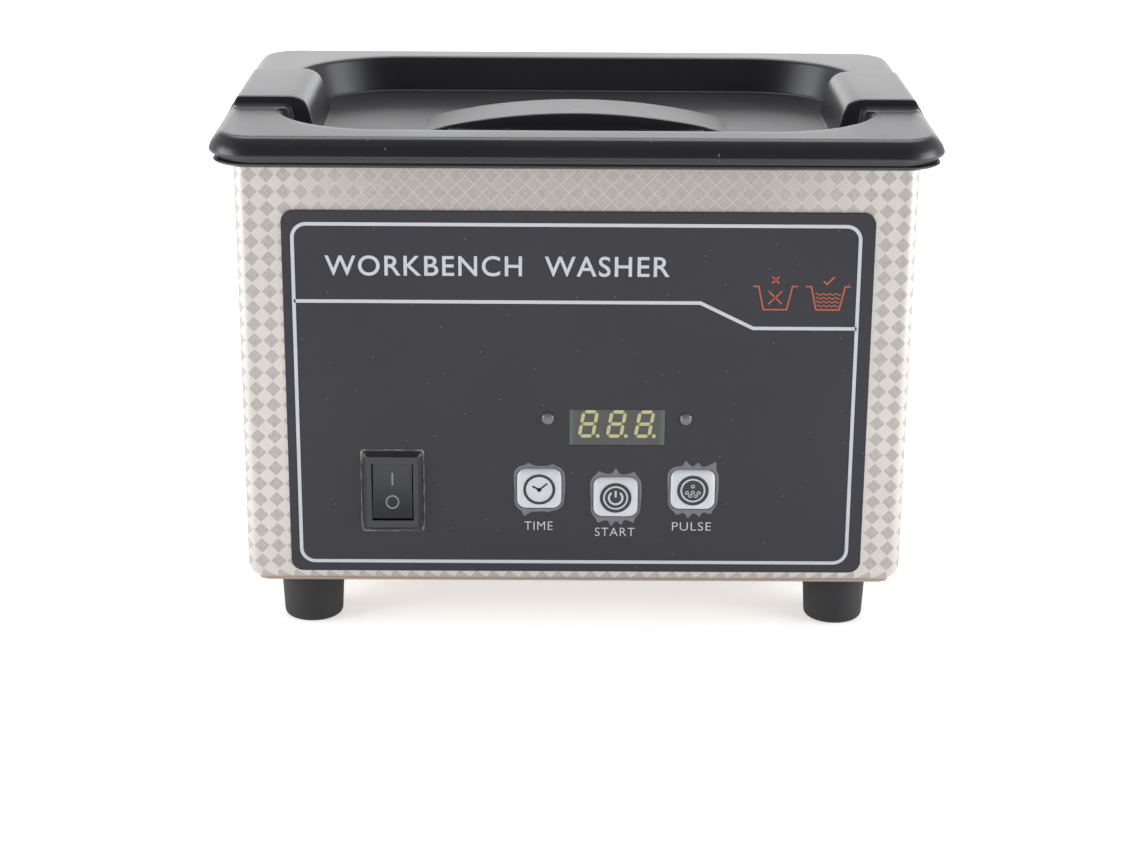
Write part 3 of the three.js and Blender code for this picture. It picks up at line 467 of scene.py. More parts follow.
def diamond_sheet(settings):
    """
    Bright sheet rolled with squares that stand on a corner. Sheet coordinates are turned by 45 degrees
    and divided by the square's side; alternate squares differ in tone and gloss, each has its own
    faint brushing, and a fine raised line runs round every square. The middle of the strip above the
    panel carries painted shade of the lid's overhang: squares nearly of one tone, darker and warmer.
    """
    finish = Finish("diamond_sheet", settings.light_tone, 0.3, metallic=0.6)
    scale = 1.0 / settings.square_side
    cells = finish.place(uv=True, scale=(scale, scale, 1), rotation=(0, 0, math.radians(45)))
    checker = finish.node("ShaderNodeTexChecker", {"Vector": cells, "Scale": 1.0}).outputs["Fac"]
    axes = finish.node("ShaderNodeSeparateXYZ", {"Vector": cells})
    away = []
    for axis in ("X", "Y"):
        part = finish.math("FRACT", axes.outputs[axis])
        away.append(finish.math("ABSOLUTE", finish.math("SUBTRACT", part, 0.5)))
    line = finish.spread(finish.math("MAXIMUM", away[0], away[1]), 0.0, 1.0, 0.462, 0.488)
    brush_up = finish.noise(finish.place(uv=True, scale=(5200, 260, 1)), 1.0, 2.0)
    brush_across = finish.noise(finish.place(uv=True, scale=(2600, 700, 1)), 1.0, 2.0)
    brush = finish.node("ShaderNodeMix", {0: checker, 2: brush_up, 3: brush_across}).outputs[0]
    slow = finish.noise(finish.place(uv=True), 38, 3.0)
    spot = finish.node("ShaderNodeSeparateXYZ", {"Vector": finish.place()})
    # Painted shade: the middle of the front wall's top strip, under the lid's overhang, is darkened and warmed,
    # and its squares are brought nearly to one tone.
    side = finish.spread(finish.math("ABSOLUTE", spot.outputs["X"]), 1.0, 0.0, 0.045, 0.074)
    high = finish.spread(spot.outputs["Z"], 0.0, 1.0, 0.090, 0.104)
    front = finish.math("LESS_THAN", spot.outputs["Y"], -0.054)
    overhang_shade = finish.math("MULTIPLY", finish.math("MULTIPLY", side, high), front)
    tone = finish.math("MULTIPLY", checker, finish.spread(overhang_shade, 1.0, 0.22))
    flat = finish.blend(tone, settings.light_tone, settings.dark_tone)
    wear_and_shade = finish.blend(finish.math("MULTIPLY", overhang_shade, 0.9), flat, settings.overhang_shade_tone)
    warmed = finish.math("MULTIPLY", finish.math("MULTIPLY", overhang_shade, checker), 0.3)
    wear_and_shade = finish.blend(warmed, wear_and_shade, settings.warm_tone)
    brushed = finish.blend(finish.spread(brush, 0.0, 0.3, 0.35, 0.75), wear_and_shade, settings.line_tone)
    aged = finish.blend(finish.spread(slow, 0.0, 0.2, 0.4, 0.7), brushed, settings.warm_tone)
    color = finish.blend(finish.math("MULTIPLY", line, 0.5), aged, settings.line_tone)
    gloss = finish.node("ShaderNodeMix", {0: checker, 2: 0.36, 3: 0.46}).outputs[0]
    gloss = finish.math("SUBTRACT", gloss, finish.math("MULTIPLY", line, 0.08))
    finish.surface(color, gloss)
    height = finish.math("ADD", line, finish.math("MULTIPLY", brush, 0.35))
    return finish.bump(height, 0.3, 0.00004).material


def face_film(settings):
    """Matt film: fine texture, stray dust, and a slow change of shade."""
    finish = Finish("face_film", settings.film_color, 0.46, specular=0.32)
    place = finish.place()
    grain = finish.noise(place, 3200, 2.0)
    slow = finish.noise(place, 22, 2.0)
    upright = finish.place(rotation=(math.radians(90), 0, 0))
    dust = finish.node("ShaderNodeTexVoronoi", {"Vector": upright, "Scale": 130.0}, voronoi_dimensions="2D")
    keep = finish.node("ShaderNodeTexWhiteNoise", {"Vector": dust.outputs["Position"]}, noise_dimensions="3D")
    near = finish.spread(dust.outputs["Distance"], 1.0, 0.0, 0.008, 0.026)
    speck = finish.math("MULTIPLY", near, finish.math("GREATER_THAN", keep.outputs["Value"], 0.62))
    film = settings.film_color
    shade = finish.blend(slow, shaded(film, 0.9), shaded(film, 1.12))
    color = finish.blend(finish.math("MULTIPLY", speck, 0.3, clamp=True), shade, (0.5, 0.5, 0.52))
    finish.surface(color, finish.spread(grain, 0.4, 0.54))
    return finish.bump(grain, 0.12, 0.00002).material


def worn_rubber(name, color):
    """Rubber: a dull, faintly mottled skin with a soft grain."""
    finish = Finish(name, color, 0.72, specular=0.4)
    place = finish.place()
    mottle = finish.noise(place, 220, 4.0)
    grain = finish.noise(place, 1600, 2.0)
    color_out = finish.blend(mottle, shaded(color, 0.8), shaded(color, 1.35))
    finish.surface(color_out, finish.spread(mottle, 0.6, 0.85))
    return finish.bump(grain, 0.3, 0.00004).material


def glow(name, color, strength):
    """A lit display segment: pale plastic that gives a little light of its own, uneven along it."""
    finish = Finish(name, color, 0.4)
    uneven = finish.noise(finish.place(), 900, 1.0)
    finish.surface(finish.blend(uneven, shaded(color, 0.92), color))
    finish.shader.inputs["Emission Color"].default_value = (*color[:3], 1.0)
    finish.shader.inputs["Emission Strength"].default_value = strength
    return finish.material


def board_mask(name, color):
    """Circuit board: lacquer over straight tracks, with dull tinned pads."""
    finish = Finish(name, color, 0.35)
    place = finish.place(scale=(400, 400, 400))
    tracks = finish.node("ShaderNodeTexBrick", {
        "Vector": place, "Scale": 1.0, "Mortar Size": 0.18, "Brick Width": 2.6, "Row Height": 0.8,
    }).outputs["Fac"]
    pads = finish.node("ShaderNodeTexVoronoi", {"Vector": place, "Scale": 0.9}).outputs["Distance"]
    pad = finish.spread(pads, 1.0, 0.0, 0.1, 0.14)
    lacquer = finish.blend(tracks, color, shaded(color, 1.7))
    finish.surface(finish.blend(pad, lacquer, (0.55, 0.54, 0.5)))
    return finish.bump(tracks, 0.15, 0.00003).material


# ---------------------------------------------------------------- settings

def number(label, text, default, unit="LENGTH", low=0.0):
    """A number setting; lengths are in metres."""
    return bpy.props.FloatProperty(name=label, description=text, default=default, min=low, unit=unit,
                                   precision=5)


def tint(label, text, default):
    """A linear colour setting."""
    return bpy.props.FloatVectorProperty(name=label, description=text, default=default, size=3, min=0.0,
                                         max=1.0, subtype="COLOR")


class HousingSettings(bpy.types.PropertyGroup):
    """Patterned sheet, bottom plate and feet."""

    square_side: number("Square side", "Side of one rolled square", 0.003)
    light_tone: tint("Light squares", "Colour of the brighter squares", (0.52, 0.487, 0.455))
    dark_tone: tint("Dark squares", "Colour of the duller squares", (0.355, 0.333, 0.315))
    line_tone: tint("Line", "Colour of the fine line round each square", (0.64, 0.61, 0.585))
    warm_tone: tint("Warm cast", "Colour that clouds the sheet", (0.36, 0.315, 0.29))
    # Painted shade: colour of the lid's overhang shadow on the strip above the panel.
    overhang_shade_tone: tint("Overhang_shade", "Colour of the rubbed strip above the panel", (0.335, 0.298, 0.285))
    plate_color: tint("Bottom plate", "Colour of the bottom plate", (0.36, 0.29, 0.23))
    rubber_color: tint("Rubber", "Colour of the feet", (0.019, 0.019, 0.021))
    fold_radius: number("Side fold", "Radius of the fold under each side wall", 0.0035)


class LidSettings(bpy.types.PropertyGroup):
    """Lid and the frame under it."""

    color: tint("Lid", "Colour of the lid", (0.0135, 0.0135, 0.015))
    frame_color: tint("Frame", "Colour of the frame under the lid", (0.012, 0.012, 0.013))
    rim_height: number("Rim height", "From the lid's lower edge to its flat rim", 0.00626)
    ledge_rise: number("Ledge rise", "Height of the ledge round a saddle, above the rim", 0.00024)
    recess_depth: number("Recess depth", "From the flat rim down to the tray's floor", 0.00916)
    wall: number("Wall", "Thickness of the moulding", 0.0018)


class BasketSettings(bpy.types.PropertyGroup):
    """Slotted basket."""

    color: tint("Basket", "Colour of the basket", (0.72, 0.712, 0.755))
    slot_width: number("Slot width", "Width of one slot in the wall", 0.0019)
    slot_pitch: number("Slot pitch", "From one slot to the next", 0.00425)
    hole_pitch: number("Hole pitch", "From one floor hole to the next in a row", 0.0047)
    row_pitch: number("Row pitch", "From one row of floor holes to the next", 0.0026)


class PanelSettings(bpy.types.PropertyGroup):
    """Front panel, its print and its controls."""

    film_color: tint("Film", "Colour of the face film", (0.0235, 0.0235, 0.0305))
    line_color: tint("Line print", "Colour of the border, title and labels", (0.50, 0.515, 0.55))
    sign_color: tint("Signs", "Colour of the two liquid-level signs", (0.43, 0.085, 0.032))
    key_color: tint("Keys", "Colour of the push keys", (0.53, 0.55, 0.595))
    switch_color: tint("Switch", "Colour of the rocker switch", (0.022, 0.023, 0.026))
    lit_color: tint("Segments", "Colour of the display segments", (0.42, 0.40, 0.19))
    line_width: number("Line width", "Width of the printed border", 0.00088)
    title: bpy.props.StringProperty(name="Title", description="Plain words across the top of the panel",
                                    default="WORKBENCH  WASHER")


class StageSettings(bpy.types.PropertyGroup):
    """Floor and light."""

    floor_color: tint("Floor", "Colour of the floor", (0.93, 0.93, 0.93))
    sky: bpy.props.FloatProperty(name="Sky", description="Strength of the light from all round", default=1.0)
    floor_glow: bpy.props.FloatProperty(name="Floor glow", default=0.52,
                                        description="Light that the lit table gives of itself")
    power: bpy.props.FloatProperty(name="Softboxes", description="Factor on every softbox", default=1.0)


class CleanerSettings(bpy.types.PropertyGroup):
    """Everything a user may change."""

    housing: bpy.props.PointerProperty(type=HousingSettings, name="Housing", description="Sheet and feet")
    lid: bpy.props.PointerProperty(type=LidSettings, name="Lid", description="Lid and frame")
    basket: bpy.props.PointerProperty(type=BasketSettings, name="Basket", description="Basket")
    panel: bpy.props.PointerProperty(type=PanelSettings, name="Panel", description="Panel and controls")
    stage: bpy.props.PointerProperty(type=StageSettings, name="Stage", description="Floor and light")


# ---------------------------------------------------------------- housing

class CLEANER_OT_housing(bpy.types.Operator):
    """Make the patterned housing"""

    bl_idname = "cleaner.housing"
    bl_label = "Housing"

    def execute(self, context):
        """
        A sheet carried round the outline as a grid: columns run round the walls, rows run up them, with
        extra lines at the edges of every cut-out, where the squares of the grid are left out. Below the
        fold radius each row moves inwards by radius minus the root of radius squared less drop squared.
        """
        settings = context.scene.cleaner.housing
        low, high = span("housing_shell")
        side_fold = settings.fold_radius / MM
        front_fold, lip_width, top_hem = 1.0, 8.0, 0.9
        hx, hy = high[0], high[1]
        holes = self.cut_outs()
        heights = self.rows(low[2], high[2], side_fold, holes)
        drop = np.clip(low[2] + side_fold - heights, 0, side_fold)
        tuck_side = side_fold - np.sqrt(side_fold ** 2 - drop ** 2)
        drop = np.clip(low[2] + front_fold - heights, 0, front_fold)
        tuck_front = front_fold - np.sqrt(front_fold ** 2 - drop ** 2)
        outline, along = self.columns(hx, hy, BODY_CORNER, holes)
        points = np.zeros((len(heights), len(outline), 3))
        inwards = (hx - tuck_side) / hx
        points[..., 0] = outline[:, 0] * inwards[:, None]
        points[..., 1] = outline[:, 1] * ((hy - tuck_front) / hy)[:, None]
        points[..., 2] = heights[:, None]
        faces = grid_faces(len(heights), len(outline))
        middles = (points[:-1, :-1] + points[1:, 1:]) / 2
        keep = np.ones(faces.shape[:2], bool)
        for wall, (x0, x1, z0, z1) in holes:
            inside = (middles[..., 0] > x0) & (middles[..., 0] < x1) & (middles[..., 2] > z0)
            keep &= ~(inside & (middles[..., 2] < z1) & (wall * middles[..., 1] > hy - 1.0))
        lip = points[0] * [(hx - lip_width) / (hx - side_fold), (hy - lip_width) / (hy - front_fold), 1]
        top = points[-1] * [(hx - top_hem) / hx, (hy - top_hem) / hy, 1]
        all_points = np.concatenate([lip[None], points, top[None]])
        rim = grid_faces(len(heights) + 2, len(outline))
        faces_out = (faces[keep] + len(outline)).tolist() + rim[0].tolist() + rim[-1].tolist()
        rows = np.concatenate([[heights[0] - lip_width], heights, [heights[-1] + top_hem]])
        uv = np.stack(np.meshgrid(along, rows), -1).reshape(-1, 2)
        piece = new_piece("housing_sheet", all_points.reshape(-1, 3), faces_out, "housing",
                          diamond_sheet(settings), sharp=50, uv=uv)
        tidy(piece, 1e-7)
        solidify(piece, 0.8)
        stand_in(piece, "housing_shell")
        return {"FINISHED"}

    def cut_outs(self):
        """Rectangles (x0, x1, z0, z1) left out of the front wall (-1) and the rear wall (1)."""
        found = []
        for node, margin in [("rocker_frame", -1.2), ("display_module", 0.4), ("led_left", 0.2),
                             ("led_right", 0.2), *((key, -0.7) for key in KEYS)]:
            low, high = span(node)
            found.append((-1, (low[0] - margin, high[0] + margin, low[2] - margin, high[2] + margin)))
        inlet = middle("power_inlet")
        half_x, half_z = 13.9, 10.4
        found.append((1, (inlet[0] - half_x, inlet[0] + half_x, inlet[2] - half_z, inlet[2] + half_z)))
        return found

    def rows(self, base, top, fold, holes):
        """Heights of the rows: a quarter turn of the fold, the cut-outs' edges, then even steps."""
        bend = base + fold * (1 - np.cos(np.linspace(0, math.pi / 2, 9)))
        edges = [z for _, (_, _, z0, z1) in holes for z in (z0, z1)]
        steady = np.linspace(base + fold + 8, top, 12)
        return np.unique(np.round(np.concatenate([bend, edges, steady, [base + 0.3, base + 1.0]]), 4))

    def columns(self, hx, hy, r, holes):
        """Points round the outline from the middle of the rear, and the distance along it."""
        front = np.unique([x for wall, (x0, x1, _, _) in holes if wall < 0 for x in (x0, x1)]
                          + list(np.linspace(-hx + r, hx - r, 15)))
        rear = np.unique([x for wall, (x0, x1, _, _) in holes if wall > 0 for x in (x0, x1)]
                         + list(np.linspace(-hx + r, hx - r, 9)) + [0.0])
        corner = ring(hx, hy, r, 8).reshape(4, 9, 2)
        rear_right = rear[rear >= 0][1:-1]
        rear_left = rear[rear <= 0]
        parts = [
            np.stack([rear_left[::-1][:-1], np.full(len(rear_left) - 1, hy)], -1),
            corner[1], corner[2],
            np.stack([front[1:-1], np.full(len(front) - 2, -hy)], -1),
            corner[3], corner[0],
            np.stack([rear_right[::-1], np.full(len(rear_right), hy)], -1),
            np.array([[0.0, hy]]),
        ]
        outline = np.concatenate(parts)
        steps = np.linalg.norm(np.diff(outline, axis=0), axis=1)
        return outline, np.concatenate([[0], np.cumsum(steps)])


class CLEANER_OT_feet(bpy.types.Operator):
    """Make the feet, their screws and the bottom plate"""

    bl_idname = "cleaner.feet"
    bl_label = "Feet and bottom plate"

    def execute(self, context):
        """Each foot is a rounded profile turned round its own axis, with a pocket for its screw."""
        settings = context.scene.cleaner.housing
        rubber = worn_rubber("foot_rubber", settings.rubber_color)
        zinc = spun_metal("zinc_screw", (0.55, 0.55, 0.57), 0.28, stretch=(300, 300, 300))
        for node in sorted(n for n in frame["nodes"] if n.startswith("foot_") and "screw" not in n):
            low, high = span(node)
            centre = middle(node)[:2]
            wide = (high[0] - low[0]) / 2
            narrow = wide - 0.7
            bore, pocket, pocket_top = 2.4, 4.4, 4.0
            profile = softened([
                (bore, high[2]), (wide, high[2]), (wide - 0.1, high[2] - 1.2), (narrow, low[2]),
                (pocket, low[2]), (pocket, pocket_top), (bore, pocket_top), (bore, high[2]),
            ], [0, 0.4, 0.3, 1.6, 0.5, 0.3, 0.2, 0], steps=6)
            foot = grid_piece(f"{node}_rubber", turned(profile[::-1], 56, centre), "housing", rubber,
                              sharp=60)
            stand_in(foot, node)
            screw_node = node.replace("foot_", "foot_screw_")
            screw = pan_screw(f"{screw_node}_head", screw_node, 3.6, zinc)
            stand_in(screw, screw_node)
        plate = Finish("bottom_plate_zinc", settings.plate_color, 0.5, metallic=0.55)
        cloud = plate.noise(plate.place(), 130, 4.0)
        plate.surface(plate.blend(cloud, shaded(settings.plate_color, 0.8), settings.plate_color),
                      plate.spread(cloud, 0.4, 0.6))
        finished_copy("bottom_plate", "housing", plate.material, width=0.2, segments=1)
        return {"FINISHED"}


def pan_screw(name, node, head_radius, material, downwards=True):
    """
    A pan-head screw: a domed profile turned on its axis, with a cross sunk into the dome by lowering
    each point near either of two lines through the middle. The head points down, or else to the rear.
    """
    low, high = span(node)
    centre = (low + high) / 2
    length = high[2] - low[2] if downwards else high[1] - low[1]
    rise, shank = 2.0, 1.9
    radius = np.concatenate([np.linspace(0, head_radius - 0.3, 14), [head_radius - 0.08, head_radius]])
    dome = rise * 0.55 * (radius / head_radius) ** 4
    head = turned(np.stack([radius, dome], -1), 48)
    depth = 1.1 * np.clip(1 - np.linalg.norm(head[..., :2], axis=-1) / (head_radius * 0.62), 0, 1)
    near = np.minimum(np.abs(head[..., 0]), np.abs(head[..., 1]))
    head[..., 2] += depth ** 0.35 * np.clip(1.6 - near * 3.2, 0, 1)
    rest = turned([(head_radius, rise), (shank, rise), (shank, length), (0.01, length)], 48)
    points = np.concatenate([head, rest])
    if downwards:
        points += [centre[0], centre[1], low[2]]
    else:
        points = np.stack([points[..., 0], -points[..., 2], points[..., 1]], -1)
        points += [centre[0], high[1], centre[2]]
    return grid_piece(name, points, "housing", material, sharp=50)


# ---------------------------------------------------------------- lid, frame and tank

class CLEANER_OT_lid(bpy.types.Operator):
    """Make the moulded lid"""

    bl_idname = "cleaner.lid"
    bl_label = "Lid"

    def execute(self, context):
        """
        One closed grid. Each column is a section through the moulding, from the tray's underside out to
        the skirt and back over the rim to the tray's floor; each point of it lies on the lid's or the
        recess's outline, grown by an offset. Sections change over the saddles and their ledges.
        """
        settings = context.scene.cleaner.lid
        self.high = span("lid")[1]
        self.base = span("top_frame")[1][2] + 0.1
        self.rim = self.base + settings.rim_height / MM
        self.ledge = self.rim + settings.ledge_rise / MM
        self.floor = self.rim - settings.recess_depth / MM
        self.wall = settings.wall / MM
        saddle, ledge, hollow, origin, direction = self.lines()
        top = self.mix(self.mix(self.top_section("plain"), self.top_section("ledge"), ledge),
                       self.top_section("saddle"), saddle)
        under = self.mix(self.under_section("plain"), self.under_section("saddle"), hollow)
        section = np.concatenate([under, top], axis=1)
        quarter = self.place(section, origin, direction)
        points = self.all_round(quarter)
        material = self.material(settings)
        grid = points.transpose(1, 0, 2)
        all_points, all_faces = joined([(grid, ring_faces(grid, capped=True)), self.grip()])
        piece = tidy(new_piece("lid_moulding", all_points, all_faces, "lid", material, sharp=32))
        shade(piece, 32)
        stand_in(piece, "lid")
        return {"FINISHED"}

    def lines(self):
        """
        The lines that cut a quarter of the outline, from the middle of the right side round to the middle
        of the front: level lines along the side, rays round the corner, then upright lines. Each has the
        share of saddle, ledge and hollow in its section.
        """
        step = 19.4 + np.array([-0.75, -0.4, -0.15, -0.02, 0.12, 0.35, 0.8])
        share = np.array([1.0, 0.98, 0.91, 0.72, 0.22, 0.06, 0.0])
        slope = 24.8 + np.array([-1.0, -0.4, 0.0, 0.3, 0.6])
        fade = np.array([1.0, 0.85, 0.5, 0.15, 0.0])
        hollow_end = [17.2, 17.6, 18.0]
        level = np.concatenate([[0, 6, 12, 15.5], hollow_end, step, [21.6, 23.0], slope])
        saddle = np.interp(level, step, share)
        hollow = np.interp(level, hollow_end, [1.0, 0.5, 0.0])
        ledge = np.interp(level, slope, fade)
        pivot = np.array([48.0, 25.4])
        bend = np.radians(np.concatenate([np.linspace(0, 28, 9)[1:], np.linspace(29.5, 49.5, 22),
                                          np.linspace(51, 90, 12)]))
        across = np.linspace(40, 0, 6)
        zeros = np.zeros(len(bend) + len(across))
        origin = np.concatenate([
            np.stack([0 * level, level], -1), np.tile(pivot, (len(bend), 1)),
            np.stack([across, 0 * across], -1),
        ])
        direction = np.concatenate([
            np.tile([1.0, 0.0], (len(level), 1)), np.stack([np.cos(bend), np.sin(bend)], -1),
            np.tile([0.0, 1.0], (len(across), 1)),
        ])
        shares = [np.concatenate([share_of, zeros]) for share_of in (saddle, ledge, hollow)]
        return *shares, origin, direction

    def top_section(self, kind):
        """
        Skirt, rim, recess wall and floor as (outline, offset, height), where outline 0 is the lid's and
        outline 1 the recess's. `lip` is where the rim turns down, `before` the start of that bend.
        """
        base, rim, floor = self.base, self.rim, self.floor
        crown = {"plain": rim, "ledge": self.ledge, "saddle": self.high[2]}[kind]
        lip, before, roll, foot, brow = {
            "plain": (0.0, 3.0, 0.8, -2.7, -2.75), "ledge": (-2.9, 1.0, 1.6, -4.1, -2.85),
            "saddle": (-7.0, 2.2, 5.6, -9.7, -3.3),
        }[kind]
        points = np.array([
            [0, -3.3, base], [0, -1.9, base], [0, -1.65, base + 1.1], [0, -0.5, base + 1.2],
            [0, -0.1, base + 1.5], [0, 0, base + 2.1], [0, -0.75, base + 3.9], [0, brow, crown],
            [0, brow - 2.2, crown],
            [1, before, crown], [1, lip, crown], [1, foot, floor], [1, -11.5, floor], [1, -13.5, floor],
        ])
        reach = [0, 0.15, 0.1, 0.1, 0.15, 0.45, 1.2, 1.5, 0.2, 0.2, roll, 0.5, 0.3, 0]
        return softened(points, reach, steps=6)

    def under_section(self, kind):
        """The lid's underside in the same terms: tray, wall, roof of the rim, and the skirt's foot."""
        base, floor, wall = self.base, self.floor, self.wall
        inner = {"plain": -2.7 + 1.4, "saddle": -9.7 + wall}[kind]
        roof = {"plain": self.rim - wall, "saddle": self.high[2] - wall}[kind]
        climb = {"plain": 1.5, "saddle": -6.0}[kind]
        points = np.array([
            [1, -13.5, floor - wall], [1, -11.5, floor - wall], [1, inner, floor - wall],
            [1, climb, roof], [0, -4.6, roof], [0, -3.3, base],
        ])
        return softened(points, [0, 0.3, 0.9, 0.8, 0.8, 0], steps=4)

    def mix(self, a, b, share):
        """Sections between a and b; the outline's number is mixed with the rest."""
        a = a if a.ndim == 3 else a[None]
        b = b if b.ndim == 3 else b[None]
        return a + (b - a) * np.asarray(share)[:, None, None]

    def place(self, section, origin, direction):
        """Where each line meets its outline: the side, the top or the corner's arc, whichever is hit."""
        family, offset, height = section[..., 0], section[..., 1], section[..., 2]
        origin, direction = origin[:, None, :], direction[:, None, :]
        lid = self.meet((*self.high[:2], LID_CORNER), offset, origin, direction)
        recess = self.meet(RECESS, offset, origin, direction)
        flat = lid + (recess - lid) * family[..., None]
        return np.concatenate([flat, height[..., None]], -1)

    def meet(self, outline, offset, origin, direction):
        """
        Distance along a line to a rounded rectangle: to its side, unless that lies past the straight
        part; then to its arc, by the root of the quadratic for a circle round the corner's centre.
        """
        hx, hy, r = (size + offset for size in outline)
        ox, oy = origin[..., 0], origin[..., 1]
        dx, dy = np.maximum(direction[..., 0], 1e-9), np.maximum(direction[..., 1], 1e-9)
        to_side, to_top = (hx - ox) / dx, (hy - oy) / dy
        side_ok = oy + to_side * dy <= hy - r
        top_ok = ox + to_top * dx <= hx - r
        px, py = ox - (hx - r), oy - (hy - r)
        along = px * dx + py * dy
        size = dx ** 2 + dy ** 2
        root = np.sqrt(np.maximum(along ** 2 - size * (px ** 2 + py ** 2 - r ** 2), 0))
        distance = np.where(side_ok, to_side, np.where(top_ok, to_top, (-along + root) / size))
        return np.stack([ox + distance * dx, oy + distance * dy], -1)

    def all_round(self, quarter):
        """The quarter and its three mirror images, in order round the outline, without doubled columns."""
        flip = quarter[::-1]
        left = flip[1:] * [-1, 1, 1]
        lower_left = quarter[1:] * [-1, -1, 1]
        lower_right = flip[1:-1] * [1, -1, 1]
        return np.concatenate([quarter, left, lower_left, lower_right])

    def grip(self):
        """
        The pinch ridge as a height over a grid: a low arch along X with steep faces, on a pad with round
        ends. Both fall off by a smooth step, and the border lies just under the tray's floor.
        """
        half_length, half_width, height = 40.0, 10.0, 5.2
        pad_length, pad_width, pad_height, pad_radius = 34.0, 15.5, 1.15, 5.0
        x = np.linspace(-41, 41, 165)
        steps = np.array([-1.2, -0.8, -0.5, -0.25, -0.05, 0.1, 0.25, 0.45])
        y = np.unique(np.round(np.concatenate([
            np.linspace(-8.4, 8.4, 13), 10 + steps, -(10 + steps), pad_width + steps, -(pad_width + steps),
            [-17.5, -13, -11.5, 11.5, 13, 17.5],
        ]), 3))
        gx, gy = np.meshgrid(x, y)
        arch = height * np.clip(1 - (gx / half_length) ** 2, 0, 1) ** 0.9
        inside = np.clip((half_width + 0.25 - np.abs(gy)) / 1.0, 0, 1)
        ridge = arch * (1 - (1 - inside) ** 2.2)
        cx = np.maximum(np.abs(gx) - (pad_length - pad_radius), 0)
        cy = np.maximum(np.abs(gy) - (pad_width - pad_radius), 0)
        margin = pad_radius - np.hypot(cx, cy)
        pad = pad_height * (1 - (1 - np.clip((margin + 0.2) / 0.9, 0, 1)) ** 2.2)
        lift = np.maximum(ridge, pad)
        mark = 0.25 * np.clip(1.15 - np.hypot(gx, gy), 0, 0.4)
        border = (np.abs(gx) > 40.9) | (np.abs(gy) > 17)
        gz = self.floor + np.where(border, -0.35, lift + mark - 0.01)
        points = np.stack([gx, gy, gz], -1)
        faces = grid_faces(len(y), len(x)).reshape(-1, 4).tolist()
        return points, faces

    def material(self, settings):
        """Satin black moulding with a fine grain, a little dust, and a slow change of gloss."""
        color = settings.color
        finish = Finish("lid_black", color, 0.34, specular=0.5)
        place = finish.place()
        grain = finish.noise(place, 1500, 3.0, 0.6)
        slow = finish.noise(place, 26, 3.0)
        dust = finish.node("ShaderNodeTexVoronoi", {"Vector": place, "Scale": 210.0}, voronoi_dimensions="2D")
        keep = finish.node("ShaderNodeTexWhiteNoise", {"Vector": dust.outputs["Position"]},
                           noise_dimensions="3D").outputs["Value"]
        near = finish.spread(dust.outputs["Distance"], 1.0, 0.0, 0.02, 0.05)
        patch = finish.spread(finish.noise(place, 18, 2.0), 0.9, 0.68, 0.45, 0.7)
        speck = finish.math("MULTIPLY", near, finish.math("GREATER_THAN", keep, patch))
        base = finish.blend(slow, shaded(color, 0.85), shaded(color, 1.2))
        finish.shader.inputs["Specular Tint"].default_value = (0.94, 0.95, 1.0, 1.0)
        finish.surface(finish.blend(finish.math("MULTIPLY", speck, 0.22, clamp=True), base, (0.6, 0.6, 0.6)),
                       finish.spread(slow, 0.3, 0.38))
        return finish.bump(grain, 0.3, 0.00003).material


class CLEANER_OT_tank(bpy.types.Operator):
    """Make the top frame and the tank"""

    bl_idname = "cleaner.tank"
    bl_label = "Top frame and tank"

    def execute(self, context):
        """
        The frame is a ring whose section runs up its flared outside, in over its top and down its mouth;
        the tank is a stack of rings down the wall, round the floor's edge and up the outside again.
        """
        settings = context.scene.cleaner.lid
        self.frame_ring(settings)
        low, high = span("tank")
        flange = 5.4
        mouth_x, mouth_y, mouth_r = high[0] - flange, high[1] - flange, 28.0
        top, floor, wall = high[2], low[2] + 0.8, 0.8
        section = softened([
            (-10.5, floor), (-4.2, floor), (-3.6, floor + 7), (0, top - 0.6), (0.9, top), (flange, top),
            (flange, top - 0.7), (1.4, top - 0.7), (wall, top - 1.6), (-3.6 + wall, floor + 7),
            (-4.2 + wall, floor - wall), (-10.5, floor - wall),
        ], [0, 6.0, 3.0, 0.5, 0.7, 0.2, 0.2, 0.4, 0.5, 3.0, 6.5, 0], steps=7)
        points = stack(mouth_x, mouth_y, mouth_r, section, 24)[::-1]
        steel = Finish("tank_steel", (0.74, 0.74, 0.73), 0.22, metallic=1.0)
        drawn = steel.noise(steel.place(scale=(60, 60, 900)), 1.0, 3.0)
        cloud = steel.noise(steel.place(), 50, 3.0)
        steel.surface(steel.blend(cloud, (0.66, 0.66, 0.65), (0.78, 0.78, 0.77)),
                      steel.spread(drawn, 0.16, 0.32))
        steel.bump(drawn, 0.15, 0.00003)
        tank = grid_piece("tank_steel", points, "housing", steel.material, capped=True, sharp=50)
        stand_in(tank, "tank")
        return {"FINISHED"}

    def frame_ring(self, settings):
        """Rings grown from the housing's outline outside and from the tank's mouth inside, joined up."""
        low, high = span("top_frame")
        body_x, body_y = span("housing_shell")[1][:2]
        flare = high[0] - body_x
        top, seat = high[2], low[2] + 4.3
        outside = softened([
            (-1.1, low[2]), (-1.1, seat), (0.4, seat), (flare - 0.9, top - 1.0), (flare, top - 0.35),
            (flare - 0.3, top), (-0.2, top),
        ], [0, 0.1, 0.3, 0.8, 0.3, 0.2, 0], steps=4)
        inside = [(5.7, top), (5.7, top - 0.9), (1.4, top - 0.9), (1.4, low[2])]
        outer = stack(body_x, body_y, BODY_CORNER, outside, 24)
        mouth_x, mouth_y, mouth_r = 78.0, 50.0, 28.0
        inner = stack(mouth_x, mouth_y, mouth_r, inside, 24)
        points = np.concatenate([outer, inner])
        black = moulded("frame_black", settings.frame_color, 0.4, specular=0.4)
        piece = grid_piece("frame_moulding", points, "housing", black, wrap_rows=True, sharp=40)
        stand_in(piece, "top_frame")


# ---------------------------------------------------------------- basket

